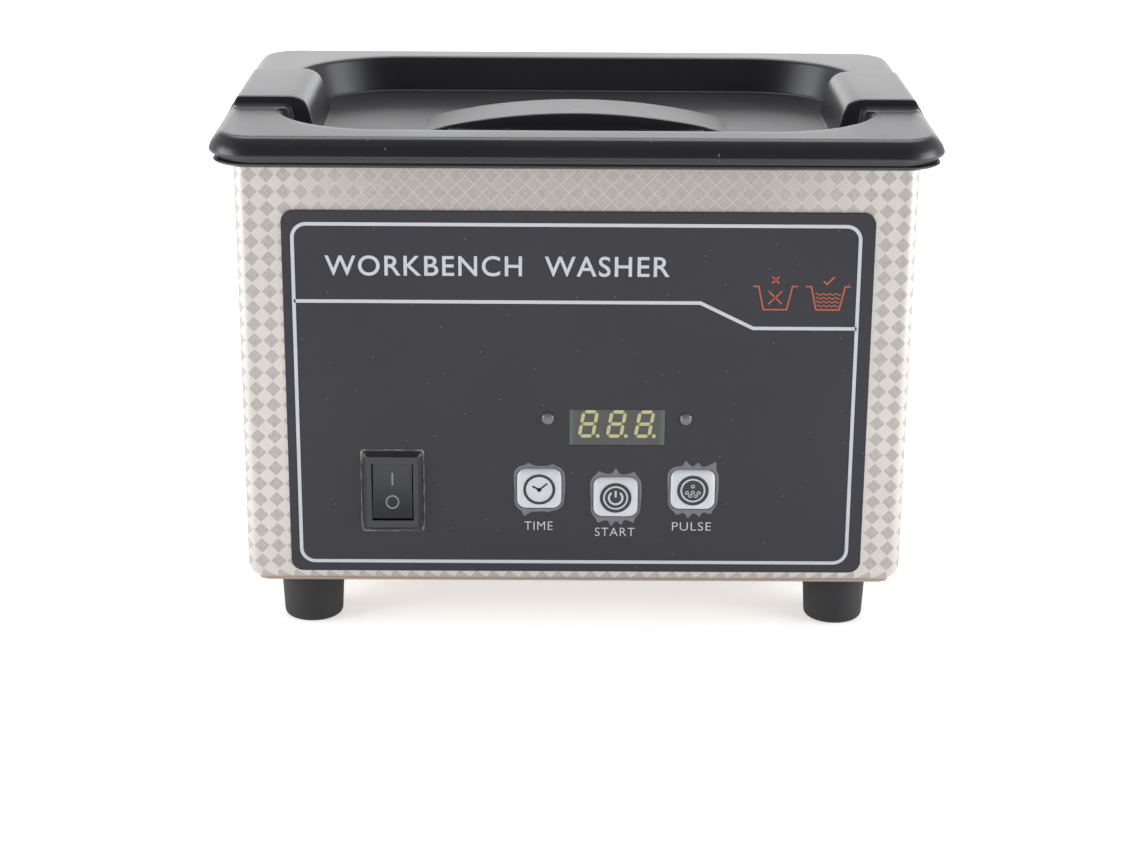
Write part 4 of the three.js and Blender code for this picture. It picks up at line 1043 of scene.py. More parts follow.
class CLEANER_OT_basket(bpy.types.Operator):
    """Make the slotted basket"""

    bl_idname = "cleaner.basket"
    bl_label = "Basket"

    def execute(self, context):
        """
        The wall is a grid of rings whose squares are left out where a slot lies and which is then given
        its thickness; the floor is a flat plate with staggered holes; each handle is a band carried
        along a bent line.
        """
        settings = context.scene.cleaner.basket
        white = moulded("basket_white", settings.color, 0.42, grain=0.2, tone=0.03)
        self.low, self.high = span("basket")
        self.rim_x, self.rim_y, self.rim_r, self.rim_top = 69.0, self.high[1], 26.0, self.low[2] + 30.0
        self.taper = 4.5
        for piece in (self.walls(settings, white), self.floor(settings, white), self.handles(white)):
            stand_in(piece, "basket")
        return {"FINISHED"}

    def walls(self, settings, white):
        """
        Stops go round the rim: both edges of each slot along a straight run, and the same as angles round
        a corner. Each height of the section has a ring through all of them.
        """
        width, pitch = settings.slot_width / MM, settings.slot_pitch / MM
        base, top = self.low[2], self.rim_top
        foot, taper = base + 3.2, self.taper
        straight_x, straight_y = self.rim_x - self.rim_r, self.rim_y - self.rim_r
        side_slots = 2 * int(straight_x / pitch) + 2
        end_slots = 2 * int(straight_y / pitch)
        along_side = (np.arange(side_slots) - (side_slots - 1) / 2) * pitch
        along_end = (np.arange(end_slots) - (end_slots - 1) / 2) * pitch
        corner = np.linspace(0, math.pi / 2, 7)[1:-1]
        half_turn = width / 2 / (self.rim_r - taper)
        stops, slots = [], []
        for quarter in range(4):
            run = along_end if quarter % 2 == 0 else along_side
            reach = straight_y if quarter % 2 == 0 else straight_x
            run = run[np.abs(run) < reach - width / 2 + 1e-6]
            for place in run:
                for edge, open_after in ((place - width / 2, True), (place + width / 2, False)):
                    stops.append((2 * quarter, edge))
                    slots.append(open_after)
            for angle in corner:
                for step, open_after in ((-half_turn, True), (0, True), (half_turn, False)):
                    stops.append((2 * quarter + 1, angle + step))
                    slots.append(open_after)
        section = softened([
            (-taper - 3.0, base + 0.8), (-taper, base + 0.8), (-taper + 0.15, foot),
            (-taper + 0.25, foot + 0.3),
            (-1.75, top - 9.5), (-1.55, top - 9.2), (-1.0, top - 4.0), (-0.1, top - 3.5), (0.0, top - 0.5),
        ], [0, 2.4, 0, 0, 0, 0, 0.3, 0.3, 0], steps=5)
        section = section[np.concatenate([[True], np.linalg.norm(np.diff(section, axis=0), axis=1) > 1e-4])]
        points = np.stack([self.round_the_wall(stops, offset, z, straight_x, straight_y)
                           for offset, z in section])
        faces = grid_faces(len(section), len(stops), wrap_columns=True)
        heights = (section[:-1, 1] + section[1:, 1]) / 2
        rows_open = (heights > foot) & (heights < top - 9.4)
        keep = ~(rows_open[:, None] & np.array(slots)[None, :])
        piece = new_piece("basket_wall", points.reshape(-1, 3), faces[keep].tolist(), "basket", white,
                          sharp=45)
        solidify(piece, 1.6)
        bevel(piece, 0.25, 2, angle=50)
        return piece

    def round_the_wall(self, stops, offset, z, straight_x, straight_y):
        """Points on a ring: along a straight run, or at an angle round a corner of the grown radius."""
        kind = np.array([k for k, _ in stops])
        value = np.array([v for _, v in stops])
        r = self.rim_r + offset
        quarter = kind // 2
        turn = quarter * math.pi / 2
        ahead = np.where(quarter % 2 == 0, straight_y, straight_x)
        out = np.where(quarter % 2 == 0, straight_x, straight_y) + r
        angle = np.where(kind % 2 == 1, value, 0.0)
        local_x = np.where(kind % 2 == 0, out, out - r + r * np.cos(angle))
        local_y = np.where(kind % 2 == 0, value, ahead + r * np.sin(angle))
        x = local_x * np.cos(turn) - local_y * np.sin(turn)
        y = local_x * np.sin(turn) + local_y * np.cos(turn)
        return np.stack([x, y, np.full(len(x), z)], -1)

    def floor(self, settings, white):
        """A plate with rows of holes; every second row is shifted by half a pitch."""
        pitch, row_pitch = settings.hole_pitch / MM, settings.row_pitch / MM
        inset = self.taper + 2.2
        edge = inset + 4.0
        outline = ring(self.rim_x - inset, self.rim_y - inset, self.rim_r - inset, 12)
        holes = []
        rows = int((self.rim_y - edge) / row_pitch)
        for row in range(-rows, rows + 1):
            y = row * row_pitch
            past = max(abs(y) - (self.rim_y - self.rim_r), 0)
            reach = self.rim_x - self.rim_r + math.sqrt(max((self.rim_r - edge) ** 2 - past ** 2, 0))
            shift = pitch / 2 if row % 2 else 0
            count = int((reach - shift) / pitch)
            for i in range(-count - (1 if shift else 0), count + 1):
                holes.append(circle(1.15, (i * pitch + shift, y), 6))
        points, faces = flat_mesh([outline, *holes], 1.6, 0.12)
        points[:, 2] += self.low[2] + 0.8
        return new_piece("basket_floor", points, faces, "basket", white, sharp=40)

    def handles(self, white):
        """Each handle's band: a bent line with a thickness, widened to the strap and softly cornered."""
        top, reach, thick, half = self.high[2], self.high[0], 1.8, 15.5
        line = softened([
            (66.9, self.rim_top - 8.0), (68.7, self.rim_top - 4.0), (71.3, self.rim_top + 0.5),
            (71.6, top - 1.2), (81.3, top), (reach, top - 3.75),
        ], [0, 1.5, 1.5, 4.0, 1.5, 0], steps=8)
        step = np.gradient(line, axis=0)
        normal = np.stack([step[:, 1], -step[:, 0]], -1)
        normal /= np.linalg.norm(normal, axis=1)[:, None]
        under = line + normal * thick
        flap_start, flap_foot = 80.0, span("top_frame")[1][2] + 0.1
        under[:, 1] = np.maximum(under[:, 1], np.where(line[:, 0] > flap_start, flap_foot, -np.inf))
        loop = np.concatenate([line, under[::-1]])
        parts = []
        across = np.array([-half, -half + 0.15, -half + 0.5, half - 0.5, half - 0.15, half])
        shrink = np.array([0.35, 0.1, 0.0, 0.0, 0.1, 0.35])
        centre = np.concatenate([(line + under) / 2, ((line + under) / 2)[::-1]])
        for side in (1, -1):
            rows = []
            for y, pull in zip(across, shrink):
                ring_points = loop + (centre - loop) * pull
                rows.append(np.stack([side * ring_points[:, 0], np.full(len(loop), y),
                                      ring_points[:, 1]], -1))
            grid = np.stack(rows)
            parts.append((grid, ring_faces(grid, capped=True)))
        points, faces = joined(parts)
        return tidy(new_piece("basket_handles", points, faces, "basket", white, sharp=50))


# ---------------------------------------------------------------- front panel

class CLEANER_OT_panel(bpy.types.Operator):
    """Make the face film with its print"""

    bl_idname = "cleaner.panel"
    bl_label = "Face film and print"

    def execute(self, context):
        """The film is a flat plate with its cut-outs; the print lies on it as very thin raised ink."""
        settings = context.scene.cleaner.panel
        low, high = span("panel_overlay")
        self.face = low[1]
        thickness = high[1] - low[1]
        centre = face_middle(low, high)
        outlines = [rounded_outline(high[0] - low[0], high[2] - low[2], 3.0, centre, 12)]
        for node, grow, r in [("rocker_frame", 0.45, 0.7), ("display_window", 0.06, 0.3)]:
            outlines.append(self.hole(node, grow, r))
        for node in ("led_left", "led_right"):
            spot = middle(node)
            outlines.append(circle(1.6, (spot[0], spot[2]), 28))
        for node in KEYS:
            outlines.append(self.hole(node, -0.75, 2.5))
        points, faces = flat_mesh(outlines, thickness, 0.08)
        film = new_piece("panel_film", facing_front(points, (low[1] + high[1]) / 2), faces, "housing",
                         face_film(settings), sharp=40)
        stand_in(film, "panel_overlay")
        ink = printed("panel_ink", settings.line_color, 0.42)
        self.print_flat("panel_border", self.border(settings), ink)
        self.print_words(settings, ink)
        self.print_flat("panel_signs", self.signs(), printed("panel_sign_ink", settings.sign_color, 0.45))
        self.halos()
        self.cut_edge()
        return {"FINISHED"}

    def hole(self, node, grow, r):
        """Outline of a cut-out: the node's face grown by a margin."""
        low, high = span(node)
        centre = face_middle(low, high)
        return rounded_outline(high[0] - low[0] + 2 * grow, high[2] - low[2] + 2 * grow, r, centre)

    def print_flat(self, name, outlines, ink, lift=0.02):
        """Groups of outlines as thin ink just off the film's face."""
        parts = [flat_mesh(group, INK) for group in outlines]
        points, faces = joined(parts)
        piece = new_piece(name, facing_front(points, self.face - lift), faces, "housing", ink, sharp=30)
        return piece

    def border(self, settings):
        """Rounded border and the stepped line under the title."""
        width = settings.line_width / MM
        half_x, bottom, top = 70.2, 19.4, 108.75
        frame_line = ring(half_x, (top - bottom) / 2, 3.5, 10) + [0, (top + bottom) / 2]
        upper, lower = 89.0, 82.5
        step = [(-half_x, upper), (31.0, upper), (44.3, lower), (half_x, lower)]
        return [stroke(frame_line, width, closed=True), stroke(step, width)]

    def print_words(self, settings, ink):
        """Each word as (words, height, left end of the baseline, width, extra weight of the strokes)."""
        parts = []
        jobs = [(settings.title, 5.2, (-62.3, 95.6), 85.5, 0.014), ("TIME", 2.3, (-12.8, 28.2), 7.2, -0.012),
                ("START", 2.3, (5.3, 26.6), 10.2, -0.012), ("PULSE", 2.3, (25.1, 28.2), 10.0, -0.012)]
        for words, height, (x, z), width, weight in jobs:
            points, faces = text_mesh(words, height, INK, spacing=1.12, weight=weight * height)
            points[:, 0] -= points[:, 0].min()
            points[:, 1] -= points[:, 1].min()
            points[:, 0] *= width / points[:, 0].max()
            points[:, 1] *= height / points[:, 1].max()
            points[:, :2] += [x, z]
            parts.append((points, faces))
        points, faces = joined(parts)
        piece = new_piece("panel_words", facing_front(points, self.face - 0.02), faces, "housing", ink,
                          sharp=30)

    def signs(self):
        """Two liquid-level signs: a dry trough with a cross, and a filled trough with waves."""
        groups = []
        foot, mark_foot = 87.4, 87.2
        for centre, wet in ((49.6, False), (62.7, True)):
            trough = [(-5.6, 6.0), (-4.2, 6.0), (-2.9, 0.0), (2.9, 0.0), (4.2, 6.0), (5.6, 6.0)]
            groups.append(stroke(np.array(trough) + [centre, foot], 0.36))
            if wet:
                x = np.linspace(-2.9, 2.9, 25)
                for level in (1.0, 2.0, 3.0, 4.0):
                    wave = np.stack([x * (0.88 + 0.05 * level) + centre,
                                     foot + level + 0.22 * np.sin(x * 4.3)], -1)
                    groups.append(stroke(wave, 0.25))
                tick = np.array([(-1.2, 7.6), (-0.3, 6.8), (1.5, 8.7)]) + [centre, mark_foot]
                groups.append(stroke(tick, 0.4))
            else:
                for lean in (1, -1):
                    bar = np.array([(-1.7 * lean, 1.4), (1.7 * lean, 4.8)]) + [centre, foot]
                    groups.append(stroke(bar, 0.34))
                    small = np.array([(-0.85 * lean, 7.0), (0.85 * lean, 8.7)]) + [centre, mark_foot]
                    groups.append(stroke(small, 0.4))
        return groups

    def halos(self):
        """
        Paler film round each key where it stands off the sheet: the key's rounded outline, pushed out by
        a smooth margin with a few narrow peaks, each falling off as the exponential of a power of the angle.
        """
        finish = Finish("lifted_film", (0.13, 0.13, 0.142), 0.4)
        cloud = finish.noise(finish.place(), 700, 3.0)
        finish.surface(finish.blend(cloud, (0.105, 0.105, 0.115), (0.16, 0.16, 0.175)))
        peaks = {
            "button_min": [(62, 0.6), (112, 0.8), (243, 1.5), (290, 0.4)],
            "button_power": [(55, 0.9), (90, 1.6), (122, 0.8), (238, 1.1), (262, 1.7), (281, 1.5),
                             (303, 1.3)],
            "button_degas": [(52, 1.9), (80, 1.3), (104, 1.6), (240, 0.9), (262, 1.6), (284, 1.3),
                             (305, 1.0)],
        }
        groups = []
        for node, bumps in peaks.items():
            low, high = span(node)
            centre = face_middle(low, high)
            inner = evenly(rounded_outline(11.9, 11.3, 2.5), 360)
            angle = np.degrees(np.arctan2(inner[:, 1], inner[:, 0])) % 360
            push = 0.55 + 0.15 * np.sin(np.radians(angle * 3 + 40))
            for at, height in bumps:
                gap = (angle - at + 180) % 360 - 180
                push += height * np.exp(-np.abs(gap / 6.0) ** 1.5)
            outward = inner / np.linalg.norm(inner, axis=1)[:, None]
            groups.append([inner + outward * push[:, None] + centre, inner * 0.985 + centre])
        self.print_flat("panel_lifted_film", groups, finish.material, lift=0.012)

    def cut_edge(self):
        """The bright raw edge of the film round the switch, as a thin raised rim."""
        low, high = span("rocker_frame")
        centre = face_middle(low, high)
        outer = rounded_outline(high[0] - low[0] + 1.15, high[2] - low[2] + 1.15, 0.9, centre)
        inner = rounded_outline(high[0] - low[0] + 0.9, high[2] - low[2] + 0.9, 0.75, centre)
        finish = Finish("film_edge", (0.30, 0.30, 0.30), 0.25)
        wear_and_shade = finish.noise(finish.place(), 330, 3.0)
        finish.surface(finish.blend(finish.spread(wear_and_shade, 0, 1, 0.4, 0.62), (0.07, 0.07, 0.08),
                                    (0.42, 0.41, 0.4)))
        self.print_flat("panel_cut_edge", [[outer, inner]], finish.material, lift=0.015)


class CLEANER_OT_display(bpy.types.Operator):
    """Make the display and the lamps"""

    bl_idname = "cleaner.display"
    bl_label = "Display and lamps"

    def execute(self, context):
        """The pane, the figures behind it and the two lamps."""
        settings = context.scene.cleaner.panel
        self.window()
        self.digits(settings)
        self.lamps()
        return {"FINISHED"}

    def window(self):
        """A smoked pane with a greener tint towards its ends."""
        low, high = span("display_window")
        centre = face_middle(low, high)
        points, faces = flat_mesh([rounded_outline(high[0] - low[0], high[2] - low[2], 0.25, centre, 4)],
                                  high[1] - low[1], 0.04)
        finish = Finish("smoked_pane", (0.06, 0.06, 0.06), 0.28, specular=0.35)
        place = finish.place(location=(-centre[0] * MM, 0, 0))
        across = finish.node("ShaderNodeSeparateXYZ", {"Vector": place}).outputs["X"]
        end = finish.spread(finish.math("ABSOLUTE", across), 0, 1, 0.0106, 0.0118)
        cloud = finish.noise(finish.place(), 500, 2.0)
        face = finish.blend(cloud, (0.055, 0.055, 0.055), (0.075, 0.075, 0.073))
        finish.surface(finish.blend(end, face, (0.075, 0.11, 0.095)))
        pane = new_piece("display_pane", facing_front(points, (low[1] + high[1]) / 2), faces, "housing",
                         finish.material, sharp=40)
        stand_in(pane, "display_window")

    def digits(self, settings):
        """
        Three slanted figures of seven bars and a point. Each bar is a hexagon between two corners of the
        figure; every point is then slid sideways by its height times the slant.
        """
        low, high = span("display_window")
        width, height, thick, gap, slant, pitch = 4.4, 7.45, 0.98, 0.2, 0.17, 7.12
        left, base = low[0] + 1.95, high[2] - height - 0.08
        corners = {"a": (0, 1), "b": (1, 1), "c": (0, 0.5), "d": (1, 0.5), "e": (0, 0), "f": (1, 0)}
        bars = ["ab", "ac", "bd", "cd", "ce", "df", "ef"]
        groups = []
        inset = thick / 2
        for figure in range(3):
            start = np.array([left + figure * pitch, base])
            for bar in bars:
                ends = np.array([corners[c] for c in bar]) * [width - thick, height - thick] + inset
                run = ends[1] - ends[0]
                run /= np.linalg.norm(run)
                side = np.array([-run[1], run[0]])
                half = thick / 2 - gap / 4
                a, b = ends[0] + run * gap, ends[1] - run * gap
                shape = np.array([a, a + (run + side) * half, b - (run - side) * half, b,
                                  b - (run + side) * half, a + (run - side) * half])
                shape[:, 0] += slant * shape[:, 1]
                groups.append([shape + start])
            groups.append([circle(0.5, start + [width + 0.85, 0.5], 20)])
        points, faces = joined([flat_mesh(group, INK) for group in groups])
        piece = new_piece("display_figures", facing_front(points, low[1] - 0.02), faces, "housing",
                          glow("lit_segment", settings.lit_color, 0.05), sharp=30)

    def lamps(self):
        """Domed lamps: a half-ellipse profile turned about the lamp's axis, which points to the front."""
        finish = Finish("lamp_lens", (0.16, 0.165, 0.165), 0.3)
        cloud = finish.noise(finish.place(), 900, 2.0)
        finish.surface(finish.blend(cloud, (0.07, 0.073, 0.075), (0.16, 0.163, 0.165)))
        finish.shader.inputs["Coat Weight"].default_value = 0.25
        for node in ("led_left", "led_right"):
            low, high = span(node)
            spot = middle(node)
            radius, dome, stem, length = 1.57, 0.8, 0.7, 5.0
            angle = np.linspace(0, math.pi / 2, 10)
            profile = np.concatenate([
                [[0.02, high[1]], [stem, high[1]], [stem, low[1] + length], [radius, low[1] + length],
                 [radius, low[1] + dome]],
                np.stack([radius * np.cos(angle) + 0.01, low[1] + dome - dome * np.sin(angle)], -1)[1:],
            ])
            flat = turned(profile, 32)
            points = np.stack([flat[..., 0] + spot[0], flat[..., 2], flat[..., 1] + spot[2]], -1)
            lamp = grid_piece(f"{node}_dome", points, "housing", finish.material, capped=True)
            stand_in(lamp, node)


class CLEANER_OT_keys(bpy.types.Operator):
    """Make the three push keys"""

    bl_idname = "cleaner.keys"
    bl_label = "Push keys"

    def execute(self, context):
        """
        Each key's face is a stack of rounded squares that shrink as they rise, so it swells like a
        pillow; behind it are its flange and stem. The sign on it is thin dark ink.
        """
        settings = context.scene.cleaner.panel
        grey = moulded("key_grey", settings.key_color, 0.45, grain=0.15, tone=0.04)
        ink = printed("key_ink", (0.022, 0.023, 0.028), 0.5)
        for name, sign in (("min", self.clock), ("power", self.power), ("degas", self.bubbles)):
            node, body = f"button_{name}", f"key_{name}"
            low, high = span(node)
            spot = middle(node)
            front, back, width, height = low[1], high[1], 11.4, 10.8
            flange_back = span("housing_shell")[0][1] + 1.8
            section = np.array([
                (-5.2, front + 0.02), (-2.6, front + 0.05), (-1.3, front + 0.1), (-0.75, front + 0.2),
                (-0.35, front + 0.42), (-0.1, front + 0.75), (0.0, front + 1.15), (0.0, flange_back - 0.9),
                (1.0, flange_back - 0.9), (1.0, flange_back), (-4.1, flange_back),
            ])
            radius = [min(max(2.3 + min(o, 0) * 0.35, 0.3), height / 2 + o) for o, _ in section]
            rings = [ring(width / 2 + o, height / 2 + o, r, 12) for (o, _), r in zip(section, radius)]
            points = np.stack([np.stack([r[:, 0] + spot[0], np.full(len(r), y), r[:, 1] + spot[2]], -1)
                               for r, (_, y) in zip(rings, section)])
            stem = self.stem(spot, flange_back, back)
            all_points, all_faces = joined([(points, ring_faces(points, capped=True)), stem])
            key = tidy(new_piece(f"{node}_cap", all_points, all_faces, body, grey, sharp=50))
            stand_in(key, node)
            groups = [[outline + [spot[0], spot[2]] for outline in group] for group in sign()]
            mark_points, mark_faces = joined([flat_mesh(group, INK) for group in groups])
            mark = new_piece(f"{node}_sign", facing_front(mark_points, front), mark_faces, body, ink,
                             sharp=30)
        return {"FINISHED"}

    def stem(self, spot, front, back):
        """The square post behind a key."""
        square = np.array([(-1.5, -1.5), (1.5, -1.5), (1.5, 1.5), (-1.5, 1.5)])
        points = [[spot[0] + a, y, spot[2] + b] for y in (front - 0.1, back) for a, b in square]
        faces = [[0, 1, 5, 4], [1, 2, 6, 5], [2, 3, 7, 6], [3, 0, 4, 7], [3, 2, 1, 0], [4, 5, 6, 7]]
        return np.array(points), faces

    def clock(self):
        """A ring with a hub and two hands."""
        return [
            [circle(4.1, steps=48), circle(3.38, steps=48)], [circle(0.58, (0, -0.1), 20)],
            stroke([(-1.75, 0.9), (0.0, -0.1)], 0.5), stroke([(0.0, -0.1), (2.05, 1.6)], 0.46),
        ]

    def power(self):
        """A dark ring, and in it a dark disc in which the usual broken circle and bar are left clear."""
        angle = np.radians(np.linspace(128, 412, 40))
        arc = np.stack([np.cos(angle), np.sin(angle)], -1)
        broken = np.concatenate([arc * 2.0, arc[::-1] * 1.45])
        bar = np.array([(-0.25, 0.1), (0.25, 0.1), (0.25, 1.95), (-0.25, 1.95)])
        return [[circle(4.05, steps=48), circle(3.2, steps=48)], [circle(2.75, steps=48), broken, bar]]

    def bubbles(self):
        """A dark ring and a dark disc with small clear rings in it."""
        disc = [circle(2.75, steps=48)]
        dots = []
        for x, y in ((0, 1.1), (-1.5, -0.65), (0, -0.5), (1.5, -0.65), (-0.65, -1.45), (0.75, -1.5)):
            disc.append(circle(0.5, (x, y), 20))
            dots.append([circle(0.27, (x, y), 16)])
        return [[circle(4.05, steps=48), circle(3.2, steps=48)], disc, *dots]


class CLEANER_OT_rocker(bpy.types.Operator):
    """Make the rocker switch"""

    bl_idname = "cleaner.rocker"
    bl_label = "Rocker switch"

    def execute(self, context):
        """The frame and the key keep their framed solids, with small round edges; signs lie on the key."""
        settings = context.scene.cleaner.panel
        black = moulded("switch_black", settings.switch_color, 0.34, grain=0.25, specular=0.5)
        finished_copy("rocker_frame", "housing", black, width=0.18)
        finished_copy("rocker_key", "rocker", black, width=0.28, segments=3)
        self.marks()
        return {"FINISHED"}

    def marks(self):
        """
        The bar and ring signs. Their depth follows the key's hollow face, a parabola of the height, and
        the whole is then turned about the pivot by the key's tilt.
        """
        joint = next(j for j in frame["joints"] if j["name"] == "rocker_tilt")
        pivot = np.array(joint["pos_m"]) / MM
        tilt = math.radians(9)
        middle_depth, hollow, half_length = -3.0, 0.5, 7.0
        ink = printed("switch_ink", (0.22, 0.235, 0.265), 0.5)
        bar = rounded_outline(0.42, 3.3, 0.2, (0, 3.1))
        eye = [circle(radius, (0, -2.85), 40) for radius in (1.75, 1.38)]
        parts = [flat_mesh([bar], INK), flat_mesh(eye, INK)]
        points, faces = joined(parts)
        flat = facing_front(points, 0.0)
        z = flat[:, 2]
        flat[:, 1] += middle_depth + hollow * (1 - (z / half_length) ** 2) - 0.03
        y = flat[:, 1] * math.cos(tilt) + z * math.sin(tilt)
        flat[:, 2] = -flat[:, 1] * math.sin(tilt) + z * math.cos(tilt)
        flat[:, 1] = y
        piece = new_piece("rocker_signs", flat + pivot, faces, "rocker", ink, sharp=30)


# ---------------------------------------------------------------- rear and inside

class CLEANER_OT_inlet(bpy.types.Operator):
    """Make the mains inlet"""

    bl_idname = "cleaner.inlet"
    bl_label = "Mains inlet"

    def execute(self, context):
        """The body and pins keep their framed solids, with small round edges; the screws are turned."""
        settings = context.scene.cleaner.panel
        black = moulded("inlet_black", settings.switch_color, 0.4)
        finished_copy("power_inlet", "housing", black, width=0.3)
        brass = spun_metal("contact_metal", (0.66, 0.60, 0.48), 0.25, stretch=(200, 900, 200))
        for pole in ("live", "earth", "neutral"):
            finished_copy(f"inlet_pin_{pole}", "housing", brass, width=0.35)
        zinc = spun_metal("inlet_screw_zinc", (0.36, 0.36, 0.37), 0.36, stretch=(300, 300, 300))
        for side in ("left", "right"):
            node = f"inlet_screw_{side}"
            screw = pan_screw(f"{node}_head", node, 2.75, zinc, downwards=False)
            stand_in(screw, node)
        return {"FINISHED"}


class CLEANER_OT_insides(bpy.types.Operator):
    """Give the parts inside the housing their materials"""

    bl_idname = "cleaner.insides"
    bl_label = "Drive parts"

    def execute(self, context):
        """Every framed node gets the finish of its slot, or else black plastic, so nothing is left plain."""
        black = moulded("part_black", (0.02, 0.02, 0.022), 0.45)
        looks = {
            "horn_aluminium": spun_metal("horn_aluminium", (0.72, 0.73, 0.74), 0.3),
            "mass_steel": spun_metal("mass_steel", (0.40, 0.40, 0.41), 0.35),
            "screw_steel": spun_metal("bolt_steel", (0.52, 0.52, 0.53), 0.3),
            "ceramic": moulded("piezo_ceramic", (0.33, 0.30, 0.27), 0.6, tone=0.2),
            "electrode_copper": spun_metal("electrode_copper", (0.78, 0.42, 0.25), 0.3),
            "contact_brass": spun_metal("post_brass", (0.74, 0.56, 0.27), 0.3),
            "winding_copper": spun_metal("winding_copper", (0.60, 0.24, 0.10), 0.25, stretch=(900, 900, 30)),
            "board": board_mask("board_mask", (0.02, 0.13, 0.055)),
            "core_ferrite": moulded("ferrite", (0.045, 0.042, 0.04), 0.6, tone=0.25),
            "capacitor_blue": moulded("capacitor_sleeve", (0.03, 0.06, 0.18), 0.3),
            "sink_black": spun_metal("sink_black", (0.05, 0.05, 0.055), 0.45),
            "fuse_glass": moulded("fuse_body", (0.68, 0.67, 0.62), 0.3),
            "lead_brown": moulded("lead_brown", (0.17, 0.06, 0.025), 0.45),
            "lead_blue": moulded("lead_blue", (0.03, 0.10, 0.38), 0.45),
            "lead_green": moulded("lead_green", (0.15, 0.27, 0.03), 0.45),
            "lead_red": moulded("lead_red", (0.45, 0.04, 0.03), 0.45),
            "ribbon_grey": moulded("ribbon_grey", (0.27, 0.29, 0.33), 0.5),
            "seal_rubber": worn_rubber("seal_rubber", (0.03, 0.03, 0.03)),
            "display_body": moulded("display_body", (0.12, 0.12, 0.12), 0.5),
        }
        slots = {row["node"]: row["material_slot"] for row in frame["record"]["subparts"]}
        for node, piece in frame["nodes"].items():
            material = looks.get(slots[node], black)
            if piece.data.materials:
                piece.data.materials[0] = material
            else:
                piece.data.materials.append(material)
        return {"FINISHED"}


# ---------------------------------------------------------------- stage

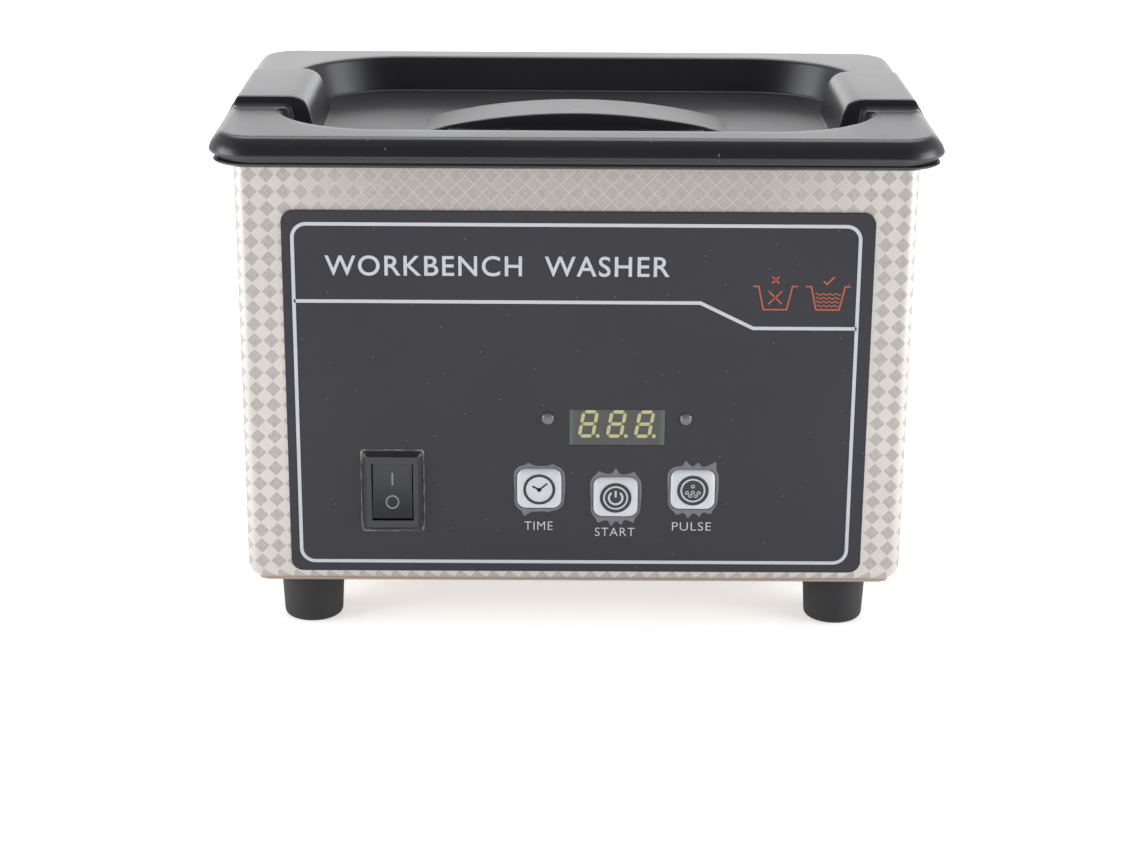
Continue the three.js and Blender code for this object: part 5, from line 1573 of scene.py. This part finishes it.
class CLEANER_OT_stage(bpy.types.Operator):
    """Set the floor, the light and the camera"""

    bl_idname = "cleaner.stage"
    bl_label = "Stage"

    def execute(self, context):
        """Floor, sky, softboxes and camera, with colours shown as they are."""
        settings = context.scene.cleaner.stage
        scene = context.scene
        scene.view_settings.view_transform = "Standard"
        scene.view_settings.look = "None"
        self.floor(settings)
        self.sky(scene, settings)
        self.softboxes(settings)
        self.camera(scene)
        return {"FINISHED"}

    def floor(self, settings):
        """A wide pale sheet that glows a little, as a lit table does."""
        half = 6000.0
        points = np.array([(-half, -half, 0), (half, -half, 0), (half, half, 0), (-half, half, 0)])
        finish = Finish("floor_paper", settings.floor_color, 0.9, specular=0.1)
        grain = finish.noise(finish.place(), 400, 2.0)
        pale = settings.floor_color
        finish.surface(finish.blend(grain, shaded(pale, 0.985), pale))
        finish.shader.inputs["Emission Color"].default_value = (1.0, 1.0, 1.0, 1.0)
        finish.shader.inputs["Emission Strength"].default_value = settings.floor_glow
        mesh = bpy.data.meshes.new("floor")
        mesh.from_pydata((points * MM).tolist(), [], [[0, 1, 2, 3]])
        mesh.materials.append(finish.material)
        floor = bpy.data.objects.new("floor", mesh)
        bpy.context.scene.collection.objects.link(floor)

    def sky(self, scene, settings):
        """Pale light that is strong behind the machine near the floor, and weak in front and overhead."""
        world = bpy.data.worlds.new("studio")
        scene.world = world
        world.use_nodes = True
        nodes, links = world.node_tree.nodes, world.node_tree.links
        background = nodes["Background"]
        parts = nodes.new("ShaderNodeSeparateXYZ")
        links.new(nodes.new("ShaderNodeTexCoord").outputs["Generated"], parts.inputs[0])
        ranges = []
        for axis, bounds in (("Y", (-0.6, 0.4, 0.18, 0.84)), ("Z", (0.1, 0.7, 1.0, 0.5))):
            part = nodes.new("ShaderNodeMapRange")
            part.interpolation_type = "SMOOTHSTEP"
            links.new(parts.outputs[axis], part.inputs["Value"])
            for key, value in zip(("From Min", "From Max", "To Min", "To Max"), bounds):
                part.inputs[key].default_value = value
            ranges.append(part.outputs["Result"])
        product = nodes.new("ShaderNodeMath")
        product.operation = "MULTIPLY"
        links.new(ranges[0], product.inputs[0])
        links.new(ranges[1], product.inputs[1])
        scaled = nodes.new("ShaderNodeMath")
        scaled.operation = "MULTIPLY"
        links.new(product.outputs[0], scaled.inputs[0])
        scaled.inputs[1].default_value = settings.sky
        background.inputs["Color"].default_value = (0.98, 0.985, 1.0, 1.0)
        links.new(scaled.outputs[0], background.inputs["Strength"])

    def softboxes(self, settings):
        """Rectangular lights: one overhead, a broad one at each side, and a low strip behind."""
        boxes = [
            ("box_top", (0.0, 0.5, 1.3), (0, 0, 0.1), (1.4, 0.9), 16.0),
            ("box_left", (-1.05, -0.32, 0.3), (0, 0, 0.1), (0.8, 0.5), 10.5),
            ("box_right", (1.05, -0.32, 0.3), (0, 0, 0.1), (0.8, 0.5), 10.5),
            ("box_back", (0.0, 0.42, 0.195), (0, 0, 0.13), (0.7, 0.12), 0.5),
        ]
        for name, place, target, size, power in boxes:
            light = bpy.data.lights.new(name, "AREA")
            light.shape = "RECTANGLE"
            light.size, light.size_y = size
            light.energy = power * settings.power
            holder = bpy.data.objects.new(name, light)
            aim = Vector(target) - Vector(place)
            turn = aim.to_track_quat("-Z", "Y").to_matrix().to_4x4()
            holder.matrix_world = Matrix.Translation(place) @ turn
            bpy.context.scene.collection.objects.link(holder)

    def camera(self, scene):
        """A camera looking down at the front; its turn is built from pitch, heading and roll."""
        pitch, heading, roll = (math.radians(a) for a in (18.944, 0.280, 0.381))
        place = np.array([-4.13, -638.74, 256.33]) * MM
        ahead = np.array([math.sin(heading) * math.cos(pitch), math.cos(heading) * math.cos(pitch),
                          -math.sin(pitch)])
        right = np.array([math.cos(heading), -math.sin(heading), 0.0])
        up = np.cross(right, ahead)
        across = math.cos(roll) * right + math.sin(roll) * up
        upright = -math.sin(roll) * right + math.cos(roll) * up
        data = bpy.data.cameras.new("camera")
        data.sensor_width = 36.0
        data.sensor_fit = "HORIZONTAL"
        data.lens = 76.89
        data.clip_start, data.clip_end = 0.01, 50.0
        camera = bpy.data.objects.new("camera", data)
        turn = Matrix([list(row) for row in np.stack([across, upright, -ahead], 1)])
        camera.matrix_world = Matrix.Translation(place.tolist()) @ turn.to_4x4()
        scene.collection.objects.link(camera)
        scene.camera = camera


# ---------------------------------------------------------------- add-on

class CLEANER_PT_sidebar(bpy.types.Panel):
    """Lists the settings and the steps"""

    bl_idname = "CLEANER_PT_sidebar"
    bl_label = "Ultrasonic cleaner"
    bl_space_type = "VIEW_3D"
    bl_region_type = "UI"
    bl_category = "Cleaner"

    def draw(self, context):
        """One box of values per group, then one button per step."""
        layout = self.layout
        settings = context.scene.cleaner
        for group in ("housing", "lid", "basket", "panel", "stage"):
            box = layout.box()
            box.label(text=group.capitalize())
            values = getattr(settings, group)
            for key in values.__annotations__:
                box.prop(values, key)
        for operator in OPERATORS:
            layout.operator(operator.bl_idname)


OPERATORS = (
    CLEANER_OT_insides, CLEANER_OT_housing, CLEANER_OT_feet, CLEANER_OT_tank, CLEANER_OT_basket,
    CLEANER_OT_lid, CLEANER_OT_panel, CLEANER_OT_display, CLEANER_OT_keys, CLEANER_OT_rocker,
    CLEANER_OT_inlet, CLEANER_OT_stage,
)
SETTINGS = (HousingSettings, LidSettings, BasketSettings, PanelSettings, StageSettings, CleanerSettings)


def register():
    """Registers the classes and hangs the settings on the scene."""
    for each in (*SETTINGS, *OPERATORS, CLEANER_PT_sidebar):
        bpy.utils.register_class(each)
    bpy.types.Scene.cleaner = bpy.props.PointerProperty(type=CleanerSettings, name="Cleaner",
                                                        description="Settings of the ultrasonic cleaner")


def unregister():
    """Undoes register, last class first."""
    del bpy.types.Scene.cleaner
    for each in reversed((*SETTINGS, *OPERATORS, CLEANER_PT_sidebar)):
        bpy.utils.unregister_class(each)


def main():
    """Registers the add-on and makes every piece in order."""
    register()
    for step in ("insides", "housing", "feet", "tank", "basket", "lid", "panel", "display", "keys", "rocker",
                 "inlet", "stage"):
        getattr(bpy.ops.cleaner, step)()


if __name__ == "__main__":
    main()
